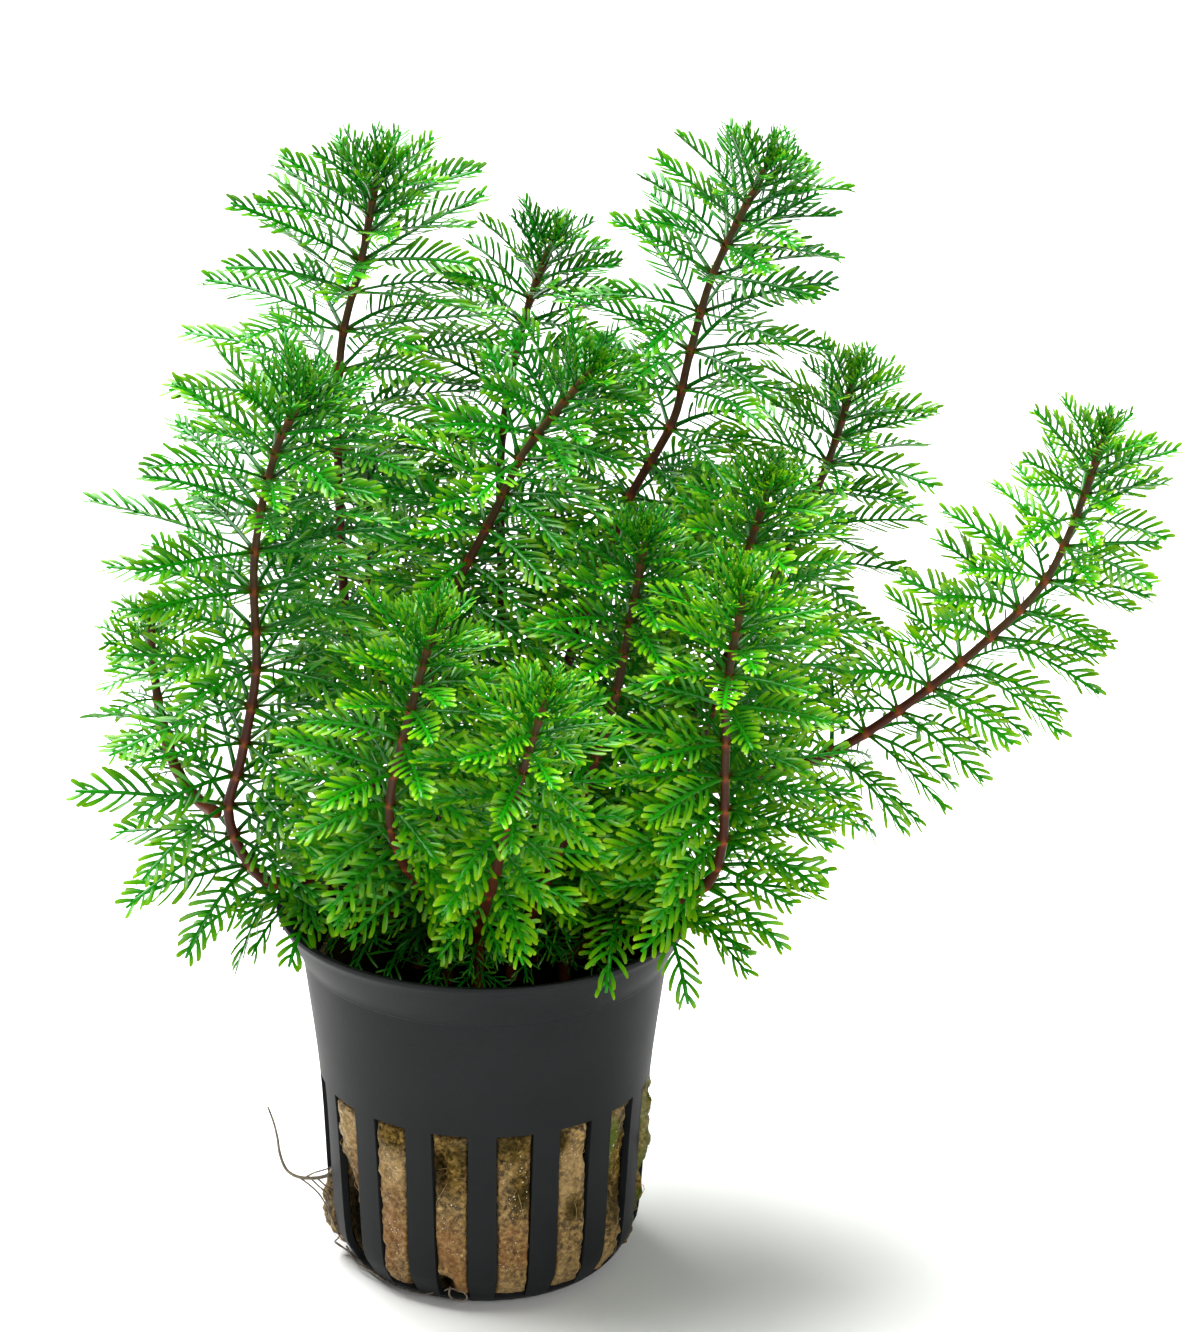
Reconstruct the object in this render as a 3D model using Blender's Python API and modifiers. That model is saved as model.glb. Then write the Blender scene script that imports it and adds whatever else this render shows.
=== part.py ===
"""A feather-leaved aquarium plant: a bunch of leafy shoots in mineral wool, in a slotted nursery pot.

Metres, +Z up. The origin is the centre of the pot's underside. +X is to the right and -Y is the front.
Each shoot is a leafy solid, which is a stem with a flat blade drawn out of it for each feather leaf and a
bud at its tip. The bare foot of a stem that is planted in the wool is a solid of its own.
"""

import math
import random
from collections import namedtuple

import bmesh
import bpy
from mathutils import Quaternion, Vector
from mathutils.bvhtree import BVHTree

MM = 0.001

# The pot, turned round Z, with a flared collar at the top and slots in the lower half of its wall.
POT_HEIGHT = 51 * MM
RIM_RADIUS = 27.5 * MM
COLLAR_FOOT_RADIUS = 24.4 * MM
COLLAR_HEIGHT = 6.6 * MM
BODY_TOP_RADIUS = 24.1 * MM
SLOT_TOP_RADIUS = 22 * MM
KNEE_RADIUS = 20.5 * MM
KNEE_HEIGHT = 5 * MM
BEND_RADIUS = 18.6 * MM
BEND_HEIGHT = 1.7 * MM
FOOT_RADIUS = 16 * MM
WALL = 1 * MM
FLOOR_THICKNESS = 1.2 * MM
POT_SEGMENTS = 32

SLOT_COUNT = 16
SLOT_TURN = math.radians(-1)
SLOT_BOTTOM = 1.5 * MM
SLOT_TOP = 27 * MM
SLOT_TOP_WIDTH = 4.9 * MM
SLOT_BOTTOM_WIDTH = 4.1 * MM
SLOT_CUT_FROM = 12 * MM
SLOT_CUT_TO = 32 * MM
DRAIN_COUNT = 4
DRAIN_WIDTH = 1.8 * MM
DRAIN_INNER = 7 * MM
DRAIN_OUTER = 13 * MM

# The mineral wool plug fills the pot to below its collar and swells into the slots.
GAP = 0.3 * MM
WOOL_TOP = 41.5 * MM
WOOL_LEVELS = (1.5, 6, 12, 18, 24, 26.3, 41.5)
WOOL_SWELL = 1 * MM
ALGAE_SLOTS = (3, 4)
ALGAE_SWELL = 2.4 * MM
SOCKET_DEPTH = 6 * MM
UPRIGHT = 7.5 * MM
FOOT_TOP = 1.2 * MM

# Every rooted stem stands upright between these heights, in millimetres.
PLANTED_FROM = 36
UPRIGHT_TO = 40

# Stems and leaves. A whorl's leaves grow from the sides of a node: to the right, back, left and front. The
# last two lean to the right in one whorl and to the left in the next, so that the stem shows between them.
# The youngest whorls are one bud, the next ones all have blades, and below those every second whorl has.
STEM_SIDES = 4
STEM_BASE_RADIUS = 1.15 * MM
STEM_TIP_RADIUS = 0.65 * MM
NODE_SWELLING = 1.12
NODE_HALF_HEIGHT = 0.5 * MM
FIRST_WHORL = 0.8 * MM
FIRST_WHORL_GAP = 1.0 * MM
WHORL_GAP_GROWTH = 1.27
WHORL_GAP = 5.2 * MM
LEAN = math.radians(33)
YOUNG_WHORLS = 8
YOUNG_WHORL_TURN = math.radians(45)
WHORL_SWAY = 0.2
BARE_STEM = 11 * MM
YOUNGEST_LEAF = 0.2
LEAF_LENGTH_GAIN = 0.13
BASE_LEAF_LOSS = 0.45
TIP_LIFT = math.radians(78)
FULL_GROWN_LIFT = math.radians(14)
LIFT_FADE = 0.86
LEAF_DROOP = math.radians(19)
OLD_LEAF_SAG = 2.5 * MM

# Leaves turn their upper faces this share of the way to the light.
LIGHT = Vector((0, -0.45, 0.9))
LIGHT_TURN = 0.4
BLADE_WIDTH = 8 * MM
BLADE_WIDEST = 0.45
BUD_WHORLS = 4
CLOSE_WHORLS = 14
BUD_LENGTH = 8 * MM
BUD_RADIUS = 2.3 * MM
SMOOTH_BELOW = math.radians(50)

# Each shoot's stem runs through these points, in millimetres, from just above the wool to its growing tip.
SHOOT_ROUTES = {
    "shoot_tall_left": (
        (-5, 4, 44), (-12, 4, 58), (-17, 7, 76), (-19, 14, 98), (-19, 21, 119), (-16, 24, 132), (-14, 25, 143)
    ),
    "shoot_left": (
        (-9, -1, 44), (-12, -1, 48.5), (-18, -1, 52), (-24, -2, 54), (-29, -5, 56), (-33, -8, 66),
        (-31, -11, 76), (-29, -12, 88), (-29, -11, 103), (-26, -9, 117), (-22, -8, 124)
    ),
    "shoot_back_middle": (
        (-1.5, 6.5, 44), (-1, 6, 56), (1, 8, 70), (2, 14, 86), (2, 24, 106), (5, 30, 121), (9, 32, 132)
    ),
    "shoot_middle": (
        (-1.5, 0.5, 44), (-5, 0, 60), (-7, 1, 78), (-5, 2, 91), (1, 2, 104), (5, 1, 113), (14, 0, 125)
    ),
    "shoot_tall_right": (
        (3, 4, 44), (6, 4, 60), (10, 7, 79), (18, 10, 102), (24, 12, 113), (26, 14, 121), (29, 15, 132),
        (36, 16, 147)
    ),
    "shoot_back_right": (
        (6, 7, 44), (12, 8, 54), (23, 10, 66), (33, 14, 82), (40, 17, 94), (45, 19, 106), (48, 20, 117)
    ),
    "shoot_right": (
        (7, 1, 44), (13, 0, 52), (20, -2, 60), (28, -4, 76), (32, -4, 89), (33, -4, 100), (36, -4, 111)
    ),
    "shoot_front_right": (
        (10.5, -4.5, 44), (15, -5, 48.5), (22, -8, 53), (28, -12, 58), (30, -17, 66), (30, -21, 80),
        (30, -22, 90), (32, -22, 104)
    ),
    "shoot_far_right": (
        (10.5, 3.5, 44), (15, 3, 54), (24, 3, 63), (33, 4, 66), (45, 4, 70), (55, 4, 77), (65, 4, 86),
        (72, 4, 94), (76, 4, 104), (79, 4, 115)
    ),
    "shoot_front_left": (
        (-5, -5.5, 44), (-7, -9, 54), (-11, -17, 65), (-12, -24, 75), (-10, -27, 86), (-6, -26, 101)
    ),
    "shoot_front_middle": (
        (-1, -9.5, 44), (-1, -13, 52), (1, -21, 63), (3, -28, 75), (6, -32, 88), (8, -32, 94)
    ),
    "shoot_centre": (
        (3.5, -5, 44), (7, -6, 54), (12, -8, 68), (16, -12, 83), (18, -12, 94), (20, -12, 107)
    ),
    "shoot_rear_left": ((-6, 9, 44), (-10, 17, 56), (-14, 28, 70), (-16, 35, 85), (-16, 38, 98)),
    "shoot_rear_right": ((5, 11, 44), (12, 19, 55), (20, 29, 69), (25, 35, 83), (28, 37, 96)),
}

# The length of each shoot's full-grown leaves, in millimetres.
LEAF_LENGTHS = {
    "shoot_tall_left": 21, "shoot_left": 20.5, "side_shoot_left": 12.5, "shoot_back_middle": 17,
    "shoot_middle": 17, "shoot_tall_right": 18, "shoot_back_right": 17, "shoot_right": 16.5,
    "shoot_front_right": 16.5, "shoot_far_right": 15.5, "shoot_front_left": 15.5,
    "shoot_front_middle": 14.5, "shoot_centre": 16, "shoot_rear_left": 17, "shoot_rear_right": 17,
}

# The side shoot grows from the left-hand shoot's lowest bend.
SIDE_SHOOT_ROUTE = ((-34.6, -6.6, 66), (-37, -3, 66), (-40, 0, 69), (-42, 1, 76), (-43, 2, 85), (-43, 2, 91))

# One long root leaves the left-hand slot and turns up.
ROOT_RADIUS = 0.28 * MM
ROOT_ROUTE = (
    (-21.6, -3.9, 11.8), (-23.5, -3.9, 11.6), (-25.2, -3.9, 11.9), (-26.5, -3.8, 12.9), (-27.3, -3.8, 15.2),
    (-27.6, -3.8, 17.6), (-28.1, -3.8, 20), (-28.8, -3.8, 22.2)
)

# The blade widths and lengths to try on each leaf, as shares of the full ones.
BLADE_FITS = ((1, 1), (0.6, 1))

Station = namedtuple("Station", "at along out")
Leaf = namedtuple("Leaf", "root out along length lift droop sag age")


# Materials

def material(name, colour, roughness):
    """A plain Principled material. colour is linear RGB."""
    made = bpy.data.materials.new(name)
    made.use_nodes = True
    shader = made.node_tree.nodes["Principled BSDF"]
    shader.inputs["Base Color"].default_value = (*colour, 1)
    shader.inputs["Roughness"].default_value = roughness
    made.diffuse_color = (*colour, 1)
    return made


# Routes and frames

def smooth_route(points, samples=12):
    """Points on a smooth curve through the given points, which are in millimetres."""
    knots = [Vector(p) * MM for p in points]
    knots = [2 * knots[0] - knots[1], *knots, 2 * knots[-1] - knots[-2]]
    heading = [(c - a) / ((c - b).length + (b - a).length) for a, b, c in zip(knots, knots[1:], knots[2:])]
    curve = []
    for start, end, leave, arrive in zip(knots[1:], knots[2:-1], heading, heading[1:]):
        span = (end - start).length
        for i in range(samples):
            t = i / samples
            rest = 1 - t
            curve.append(
                (1 + 2 * t) * rest * rest * start + t * t * (3 - 2 * t) * end
                + span * t * rest * (rest * leave - t * arrive)
            )
    return [*curve, knots[-2]]


def shoot_routes():
    """Every shoot's route by its name. The rooted ones start upright in their sockets."""
    routes = {}
    for name, points in SHOOT_ROUTES.items():
        x, y, _ = points[0]
        routes[name] = ((x, y, PLANTED_FROM), (x, y, UPRIGHT_TO), *points)
    return {**routes, "side_shoot_left": SIDE_SHOOT_ROUTE}


def stations(points):
    """(length, place), where place(distance) is the Station at that distance below the route's end."""
    curve = smooth_route(points)[::-1]
    reached = [0.0]
    for a, b in zip(curve, curve[1:]):
        reached.append(reached[-1] + (b - a).length)
    alongs, outs = [], []
    out = Vector((1, 0, 0))
    for i in range(len(curve)):
        along = (curve[max(i - 1, 0)] - curve[min(i + 1, len(curve) - 1)]).normalized()
        out = (out - out.dot(along) * along).normalized()
        alongs.append(along)
        outs.append(out)

    def place(distance):
        i = max(k for k in range(len(curve) - 1) if reached[k] <= distance)
        t = (distance - reached[i]) / (reached[i + 1] - reached[i])
        return Station(
            curve[i].lerp(curve[i + 1], t),
            alongs[i].lerp(alongs[i + 1], t).normalized(),
            outs[i].lerp(outs[i + 1], t).normalized(),
        )

    return reached[-1], place


# Where the leaves grow

def whorl_distances(length):
    """How far below the tip each whorl of leaves grows: crowded at the tip, then evenly spaced."""
    found = []
    at, gap = FIRST_WHORL, FIRST_WHORL_GAP
    while at < length - SOCKET_DEPTH - BARE_STEM:
        found.append(at)
        at += gap
        gap = min(gap * WHORL_GAP_GROWTH, WHORL_GAP)
    return found


def leaf_point(leaf, s):
    """The point at share s of the leaf's length along its midrib, which arches down."""
    angle = leaf.lift - leaf.droop * s
    across = (math.sin(leaf.lift) - math.sin(angle)) / leaf.droop
    up = (math.cos(angle) - math.cos(leaf.lift)) / leaf.droop
    return leaf.root + leaf.length * (across * leaf.out + up * leaf.along) - Vector((0, 0, leaf.sag * s * s))


def pot_is_near(point):
    """Whether a point is in the pot's wall or lip, or in the wool, with a little room round them."""
    radius = math.hypot(point.x, point.y)
    if point.z > POT_HEIGHT + 1 * MM:
        return False
    inside = radius < BODY_TOP_RADIUS - 2.5 * MM and point.z > WOOL_TOP + 1.2 * MM
    return not inside and radius < RIM_RADIUS + 1.2 * MM


def clear_of_pot(leaf):
    """The leaf, lifted until it no longer runs through the pot or the wool. None if it can't be."""
    for _ in range(9):
        if not any(pot_is_near(leaf_point(leaf, s / 5)) for s in range(1, 6)):
            return leaf
        leaf = leaf._replace(lift=leaf.lift + math.radians(12), sag=leaf.sag * 0.5)
    return None


def leaf_at(here, angle, number, age, full_length, chance):
    """A leaf of the whorl with that number from the tip, growing at an angle round the stem."""
    side = here.along.cross(here.out)
    out = math.cos(angle) * here.out + math.sin(angle) * side
    grown = min(1, YOUNGEST_LEAF + LEAF_LENGTH_GAIN * number) * (1 - BASE_LEAF_LOSS * age**4)
    lift = FULL_GROWN_LIFT + (TIP_LIFT - FULL_GROWN_LIFT) * LIFT_FADE**number
    reach = full_length * grown * chance.uniform(0.88, 1.08)
    rise = lift + math.radians(chance.uniform(-9, 9))
    upper_face = math.cos(rise) * here.along - math.sin(rise) * out
    sway = Quaternion().slerp(upper_face.rotation_difference(LIGHT), LIGHT_TURN * min(1, number / 6))
    leaf = Leaf(
        here.at,
        sway @ out,
        sway @ here.along,
        reach,
        rise,
        LEAF_DROOP * chance.uniform(0.3, 1.6),
        OLD_LEAF_SAG * age * grown * chance.uniform(0.2, 1.4),
        age,
    )
    return clear_of_pot(leaf)


def leaves_of(points, full_length, seed):
    """Every whorl of the shoot from the tip down, as a list of (distance below the tip, turn, its leaves)."""
    chance = random.Random(seed)
    length, place = stations(points)
    distances = whorl_distances(length)
    whorls = []
    for number, distance in enumerate(distances):
        here = place(distance)
        turn = chance.uniform(-WHORL_SWAY, WHORL_SWAY) + YOUNG_WHORL_TURN * min(number, YOUNG_WHORLS)
        lean = (0, LEAN, 0, LEAN) if number // 2 % 2 else (0, -LEAN, 0, -LEAN)
        age = distance / distances[-1]
        angles = [turn + math.tau * side / STEM_SIDES + lean[side] for side in range(STEM_SIDES)]
        leaves = [leaf_at(here, angle, number, age, full_length, chance) for angle in angles]
        whorls.append((distance, turn - 0.5 * math.tau / STEM_SIDES, leaves))
    return whorls


# Mesh building

def circle_at(station, radius, sides, turn=0.0):
    """The corners of a regular ring round a station, the first at a turn from its out vector."""
    side = station.along.cross(station.out)
    turns = [turn + math.tau * i / sides for i in range(sides)]
    return [station.at + radius * (math.cos(t) * station.out + math.sin(t) * side) for t in turns]


def extruded(bm, face):
    """Extrudes one face in place and returns (new face, {old corner: new corner})."""
    old = list(face.verts)
    spots = {v: v.co.copy() for v in old}
    made = bmesh.ops.extrude_discrete_faces(bm, faces=[face])["faces"][0]
    pairs = {v: min(made.verts, key=lambda w: (w.co - spots[v]).length) for v in old}
    return made, pairs


def skin(bm, rings):
    """A closed body through rings of equally many points, each wound round the way of travel.

    Returns the corners, ring by ring.
    """
    count = len(rings[0])
    first = bmesh.ops.create_circle(bm, cap_ends=True, radius=1 * MM, segments=count)["verts"]
    for vert, point in zip(first, rings[0]):
        vert.co = point
    cap = first[0].link_faces[0]
    floor = bmesh.ops.duplicate(bm, geom=[cap])["face_map"]
    bottom = floor[cap]
    corners = [first]
    for ring in rings[1:]:
        cap, pairs = extruded(bm, cap)
        corners.append([pairs[v] for v in corners[-1]])
        for vert, point in zip(corners[-1], ring):
            vert.co = point
    bottom.normal_flip()
    bmesh.ops.remove_doubles(bm, verts=[*first, *bottom.verts], dist=1e-7)
    return corners


def finished(bm, name, surface, collection, smooth_below=None):
    """Turns the bmesh into an object with that material, in that collection."""
    mesh = bpy.data.meshes.new(name)
    bm.to_mesh(mesh)
    bm.free()
    if smooth_below is not None:
        mesh.shade_smooth()
        mesh.set_sharp_from_angle(angle=smooth_below)
    mesh.materials.append(surface)
    made = bpy.data.objects.new(name, mesh)
    collection.objects.link(made)
    return made


def cut(target, cutter):
    """Takes the cutter's solid out of the target's."""
    modifier = target.modifiers.new(f"cut {cutter.name}", "BOOLEAN")
    modifier.operation = "DIFFERENCE"
    modifier.object = cutter


def as_cutter(made):
    """Marks an object as a cutter, which isn't rendered."""
    made.hide_render = True
    made.display_type = "WIRE"
    return made


# Pot

def wall_radius(z):
    """The radius of the outside of the pot's body at height z, below its collar."""
    levels = (
        (0, FOOT_RADIUS), (BEND_HEIGHT, BEND_RADIUS), (KNEE_HEIGHT, KNEE_RADIUS), (SLOT_TOP, SLOT_TOP_RADIUS),
        (POT_HEIGHT - COLLAR_HEIGHT, BODY_TOP_RADIUS),
    )
    for (low, near), (high, far) in zip(levels, levels[1:]):
        if z <= high:
            return near + (far - near) * (z - low) / (high - low)
    return BODY_TOP_RADIUS


def pot_profile():
    """The pot's half section, from the middle of its floor up the inside and down the outside."""
    collar_foot = POT_HEIGHT - COLLAR_HEIGHT
    bulge = COLLAR_FOOT_RADIUS + 0.5 * (RIM_RADIUS - COLLAR_FOOT_RADIUS)
    inside = [
        (0, FLOOR_THICKNESS),
        (wall_radius(FLOOR_THICKNESS) - WALL, FLOOR_THICKNESS),
        (KNEE_RADIUS - WALL, KNEE_HEIGHT),
        (SLOT_TOP_RADIUS - WALL, SLOT_TOP),
        (BODY_TOP_RADIUS - WALL, collar_foot),
        (RIM_RADIUS - WALL, POT_HEIGHT - 0.2 * MM),
    ]
    outside = [
        (RIM_RADIUS - 0.7 * WALL, POT_HEIGHT),
        (RIM_RADIUS - 0.2 * WALL, POT_HEIGHT),
        (RIM_RADIUS, POT_HEIGHT - 0.4 * MM),
        (bulge, collar_foot + 0.4 * COLLAR_HEIGHT),
        (COLLAR_FOOT_RADIUS, collar_foot),
        (BODY_TOP_RADIUS, collar_foot - 0.3 * MM),
        (SLOT_TOP_RADIUS, SLOT_TOP),
        (KNEE_RADIUS, KNEE_HEIGHT),
        (BEND_RADIUS, BEND_HEIGHT),
        (FOOT_RADIUS, 0),
        (0, 0),
    ]
    return inside + outside


def turned(name, profile, segments, surface, collection):
    """A profile of (radius, height) pairs turned round Z."""
    bm = bmesh.new()
    corners = [bm.verts.new((radius, 0, height)) for radius, height in profile]
    for a, b in zip(corners, corners[1:]):
        bm.edges.new((a, b))
    mesh = bpy.data.meshes.new(name)
    bm.to_mesh(mesh)
    bm.free()
    mesh.materials.append(surface)
    made = bpy.data.objects.new(name, mesh)
    collection.objects.link(made)
    screw = made.modifiers.new("turn", "SCREW")
    screw.steps = screw.render_steps = segments
    screw.use_merge_vertices = True
    screw.merge_threshold = 0.00001
    screw.use_smooth_shade = False
    return made


def slot_direction(number):
    """The unit vector from the axis to the middle of a slot."""
    angle = SLOT_TURN + math.tau * (number + 0.5) / SLOT_COUNT
    return Vector((math.sin(angle), -math.cos(angle), 0))


def slot_half_width(z):
    """Half of a slot's width at height z."""
    share = (z - SLOT_BOTTOM) / (SLOT_TOP - SLOT_BOTTOM)
    return 0.5 * (SLOT_BOTTOM_WIDTH + (SLOT_TOP_WIDTH - SLOT_BOTTOM_WIDTH) * share)


def make_pot_cutters(collection):
    """The wall's slots and the floor's drain slots, as one cutter."""
    bm = bmesh.new()
    for number in range(SLOT_COUNT):
        outward = slot_direction(number)
        across = Vector((-outward.y, outward.x, 0))
        for vert in bmesh.ops.create_cube(bm, size=1)["verts"]:
            radius = SLOT_CUT_FROM if vert.co.x < 0 else SLOT_CUT_TO
            height = SLOT_BOTTOM if vert.co.z < 0 else SLOT_TOP
            vert.co = outward * radius + across * math.copysign(slot_half_width(height), vert.co.y)
            vert.co.z = height
    for number in range(DRAIN_COUNT):
        angle = math.tau * (number + 0.5) / DRAIN_COUNT
        outward = Vector((math.cos(angle), math.sin(angle), 0))
        across = Vector((-outward.y, outward.x, 0))
        for vert in bmesh.ops.create_cube(bm, size=1)["verts"]:
            radius = DRAIN_INNER if vert.co.x < 0 else DRAIN_OUTER
            height = -1 * MM if vert.co.z < 0 else 0.5 * (FLOOR_THICKNESS + SLOT_BOTTOM)
            vert.co = outward * radius + across * math.copysign(0.5 * DRAIN_WIDTH, vert.co.y)
            vert.co.z = height
    return as_cutter(finished(bm, "pot_slots", bpy.data.materials["black plastic"], collection))


def make_pot(collection, cutters):
    """The slotted pot, one moulding."""
    surface = material("black plastic", (0.035, 0.036, 0.038), 0.45)
    pot = turned("pot", pot_profile(), POT_SEGMENTS, surface, collection)
    cut(pot, make_pot_cutters(cutters))


# Mineral wool

def wool_ring(z, chance):
    """The plug's outline at height z, with a lump in each slot that the height crosses."""
    in_slots = SLOT_BOTTOM + 2 * MM < z < SLOT_TOP - 1 * MM
    inner = wall_radius(z) - WALL - 1.5 * GAP
    if z < KNEE_HEIGHT:
        inner -= WALL
    ring = []
    for number in range(SLOT_COUNT):
        outward = slot_direction(number)
        across = Vector((-outward.y, outward.x, 0))
        half = slot_half_width(min(z, SLOT_TOP)) - 1.6 * GAP
        swell = 0
        if in_slots:
            swell = ALGAE_SWELL if number in ALGAE_SLOTS else WOOL_SWELL
            swell += chance.uniform(-0.7, 0.7) * MM
        for lateral, lump in ((-half, 0), (0, swell), (half, 0)):
            radius = math.sqrt(inner * inner - lateral * lateral) + lump
            ring.append(outward * radius + across * lateral + Vector((0, 0, z)))
    return ring


def make_wool(planted, collection, cutters):
    """The plug of mineral wool, with a socket where each stem is planted."""
    chance = random.Random(5)
    bm = bmesh.new()
    skin(bm, [wool_ring(level * MM, chance) for level in WOOL_LEVELS])
    surface = material("mineral wool", (0.29, 0.17, 0.06), 0.9)
    plug = finished(bm, "wool_plug", surface, collection)
    bm = bmesh.new()
    radius = 1.2 * STEM_BASE_RADIUS + 2 * GAP
    for point in planted:
        socket = bmesh.ops.create_cone(bm, cap_ends=True, segments=6, radius1=radius, radius2=radius, depth=1)
        for vert in socket["verts"]:
            height = WOOL_TOP - SOCKET_DEPTH - 2 * GAP if vert.co.z < 0 else WOOL_TOP + 1 * MM
            vert.co = Vector((vert.co.x + point.x, vert.co.y + point.y, height))
    cut(plug, as_cutter(finished(bm, "stem_sockets", surface, cutters)))


# Shoots

def stem_radius(distance, length):
    """The stem's radius at a distance below the tip."""
    share = min(1, 1.6 * distance / length)
    return STEM_TIP_RADIUS + (STEM_BASE_RADIUS - STEM_TIP_RADIUS) * share


def blade_corners(leaf, width, reach):
    """The blade's left and right corners, where it is widest, and its tip."""
    middle = leaf_point(leaf, BLADE_WIDEST * reach)
    across = 0.5 * width * leaf.along.cross(leaf.out).normalized()
    return middle - across, middle + across, leaf_point(leaf, reach)


def tree_of_blade(base, leaf, width, reach):
    """A BVH tree of the blade from just outside its stem, with the gap added round its corners and tip.

    base is the side of the stem that the blade grows from: lower left, lower right, upper right, upper left.
    """
    left, right, tip = blade_corners(leaf, width + 2 * GAP, reach)
    tip += GAP * (tip - leaf.root).normalized()
    points = [corner + 0.9 * GAP * leaf.out for corner in base]
    points += [left, right, tip - GAP * leaf.along, tip + GAP * leaf.along]
    under, over = 6, 7
    faces = [
        (0, 1, under), (0, under, 4), (1, 5, under), (2, 3, over), (3, 4, over), (2, over, 5),
        (0, 4, 3), (1, 2, 5), (4, under, over), (5, over, under),
    ]
    return BVHTree.FromPolygons(points, faces)


def tree_of_tube(rings):
    """A BVH tree of a tube's side walls. Their squares aren't flat, so each is split both ways."""
    count = len(rings[0])
    points = [p for ring in rings for p in ring]
    faces = []
    for k in range(len(rings) - 1):
        for i in range(count):
            a, b = k * count + i, k * count + (i + 1) % count
            c, d = b + count, a + count
            faces += [(a, b, c), (a, c, d), (a, b, d), (b, c, d)]
    return BVHTree.FromPolygons(points, faces)


class Shoot:
    """One shoot: the rings of its stem from the planted end up, and the blades to draw out of its nodes."""

    def __init__(self, name, points, seed):
        self.name = name
        length, place = stations(points)
        whorls = leaves_of(points, LEAF_LENGTHS[name] * MM, seed)
        self.whorls = (whorls[BUD_WHORLS:CLOSE_WHORLS] + whorls[CLOSE_WHORLS + 1 :: 2])[::-1]

        def base_ring(distance):
            return circle_at(place(distance), STEM_BASE_RADIUS, STEM_SIDES, self.whorls[0][1])

        leafy_from = self.whorls[0][0] + NODE_HALF_HEIGHT + FOOT_TOP
        bare = length - UPRIGHT - leafy_from
        self.foot = []
        self.rings = [base_ring(length), base_ring(length - UPRIGHT)]
        if name in SHOOT_ROUTES:
            self.foot = [*self.rings, base_ring(leafy_from + 0.5 * bare), base_ring(leafy_from + GAP)]
            self.rings = [base_ring(leafy_from)]
        self.below = len(self.rings)
        for distance, turn, _ in self.whorls:
            radius = NODE_SWELLING * stem_radius(distance, length)
            for shift in (NODE_HALF_HEIGHT, -NODE_HALF_HEIGHT):
                self.rings.append(circle_at(place(distance + shift), radius, STEM_SIDES, turn))
        tip = place(0)
        for rise, radius in ((-0.65, 0.4), (-0.15, 1), (0.35, 0.15)):
            lifted = tip._replace(at=tip.at + rise * BUD_LENGTH * tip.along)
            self.rings.append(circle_at(lifted, radius * BUD_RADIUS, STEM_SIDES, self.whorls[-1][1]))
        self.trees = [tree_of_tube(rings) for rings in (self.rings, self.foot) if rings]
        self.blades = []

    def base_of(self, number, side):
        """The four corners of a node's side: lower left, lower right, upper right, upper left."""
        low, high = self.rings[self.below + 2 * number], self.rings[self.below + 2 * number + 1]
        after = (side + 1) % STEM_SIDES
        return low[side], low[after], high[after], high[side]


def fit_blades(shoots, obstacles):
    """Gives every leaf the widest and longest blade that stays clear of all other blades and stems."""
    placed = []
    for shoot in shoots:
        for number, (_, _, leaves) in enumerate(shoot.whorls):
            for side, leaf in enumerate(leaves):
                if leaf is None:
                    continue
                middle = leaf_point(leaf, 0.5)
                near = [tree for other in shoots for tree in other.trees] + obstacles
                for at, size, tree in placed:
                    if (at - middle).length < 0.6 * (size + leaf.length):
                        near.append(tree)
                for width, reach in BLADE_FITS:
                    tree = tree_of_blade(shoot.base_of(number, side), leaf, width * BLADE_WIDTH, reach)
                    if not any(tree.overlap(other) for other in near):
                        placed.append((middle, leaf.length, tree))
                        shoot.blades.append((number, side, leaf, width * BLADE_WIDTH, reach))
                        break


def draw_blade(bm, rings, number, side, leaf, width, reach):
    """Pulls one side of a node out to the blade's tip, and that spike's flanks out to the other corners.

    rings are the corners of the nodes' rings, from the lowest node up.
    """
    low, high = rings[2 * number], rings[2 * number + 1]
    after = (side + 1) % STEM_SIDES
    square = {low[side], low[after], high[after], high[side]}
    face = next(f for f in low[side].link_faces if set(f.verts) == square)
    tip = bmesh.ops.poke(bm, faces=[face])["verts"][0]
    left, right, tip.co = blade_corners(leaf, width, reach)
    for index, corner in ((side, left), (after, right)):
        flank = next(f for f in tip.link_faces if {low[index], high[index]} <= set(f.verts))
        bmesh.ops.poke(bm, faces=[flank])["verts"][0].co = corner


def make_shoot(shoot, surface, collection):
    """The shoot's leafy solid."""
    bm = bmesh.new()
    rings = skin(bm, shoot.rings)[shoot.below :]
    for blade in shoot.blades:
        draw_blade(bm, rings, *blade)
    finished(bm, shoot.name, surface, collection, SMOOTH_BELOW)


def make_foot(shoot, surface, collection):
    """The bare foot of a planted stem."""
    bm = bmesh.new()
    skin(bm, shoot.foot)
    finished(bm, f"{shoot.name}_foot", surface, collection, SMOOTH_BELOW)


# Root

def make_root(collection):
    """The long root, a thin tube."""
    curve = bpy.data.curves.new("long_root", "CURVE")
    curve.dimensions = "3D"
    curve.bevel_depth = ROOT_RADIUS
    curve.bevel_resolution = 1
    curve.use_fill_caps = True
    spline = curve.splines.new("POLY")
    route = smooth_route(ROOT_ROUTE, 2)
    spline.points.add(len(route) - 1)
    for point, place in zip(spline.points, route):
        point.co = (*place, 1)
    curve.materials.append(material("root", (0.16, 0.12, 0.07), 0.7))
    root = bpy.data.objects.new("long_root", curve)
    collection.objects.link(root)


def evaluated_tree(name):
    """A BVH tree of an object as its modifiers leave it."""
    graph = bpy.context.evaluated_depsgraph_get()
    return BVHTree.FromObject(bpy.data.objects[name], graph)


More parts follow.
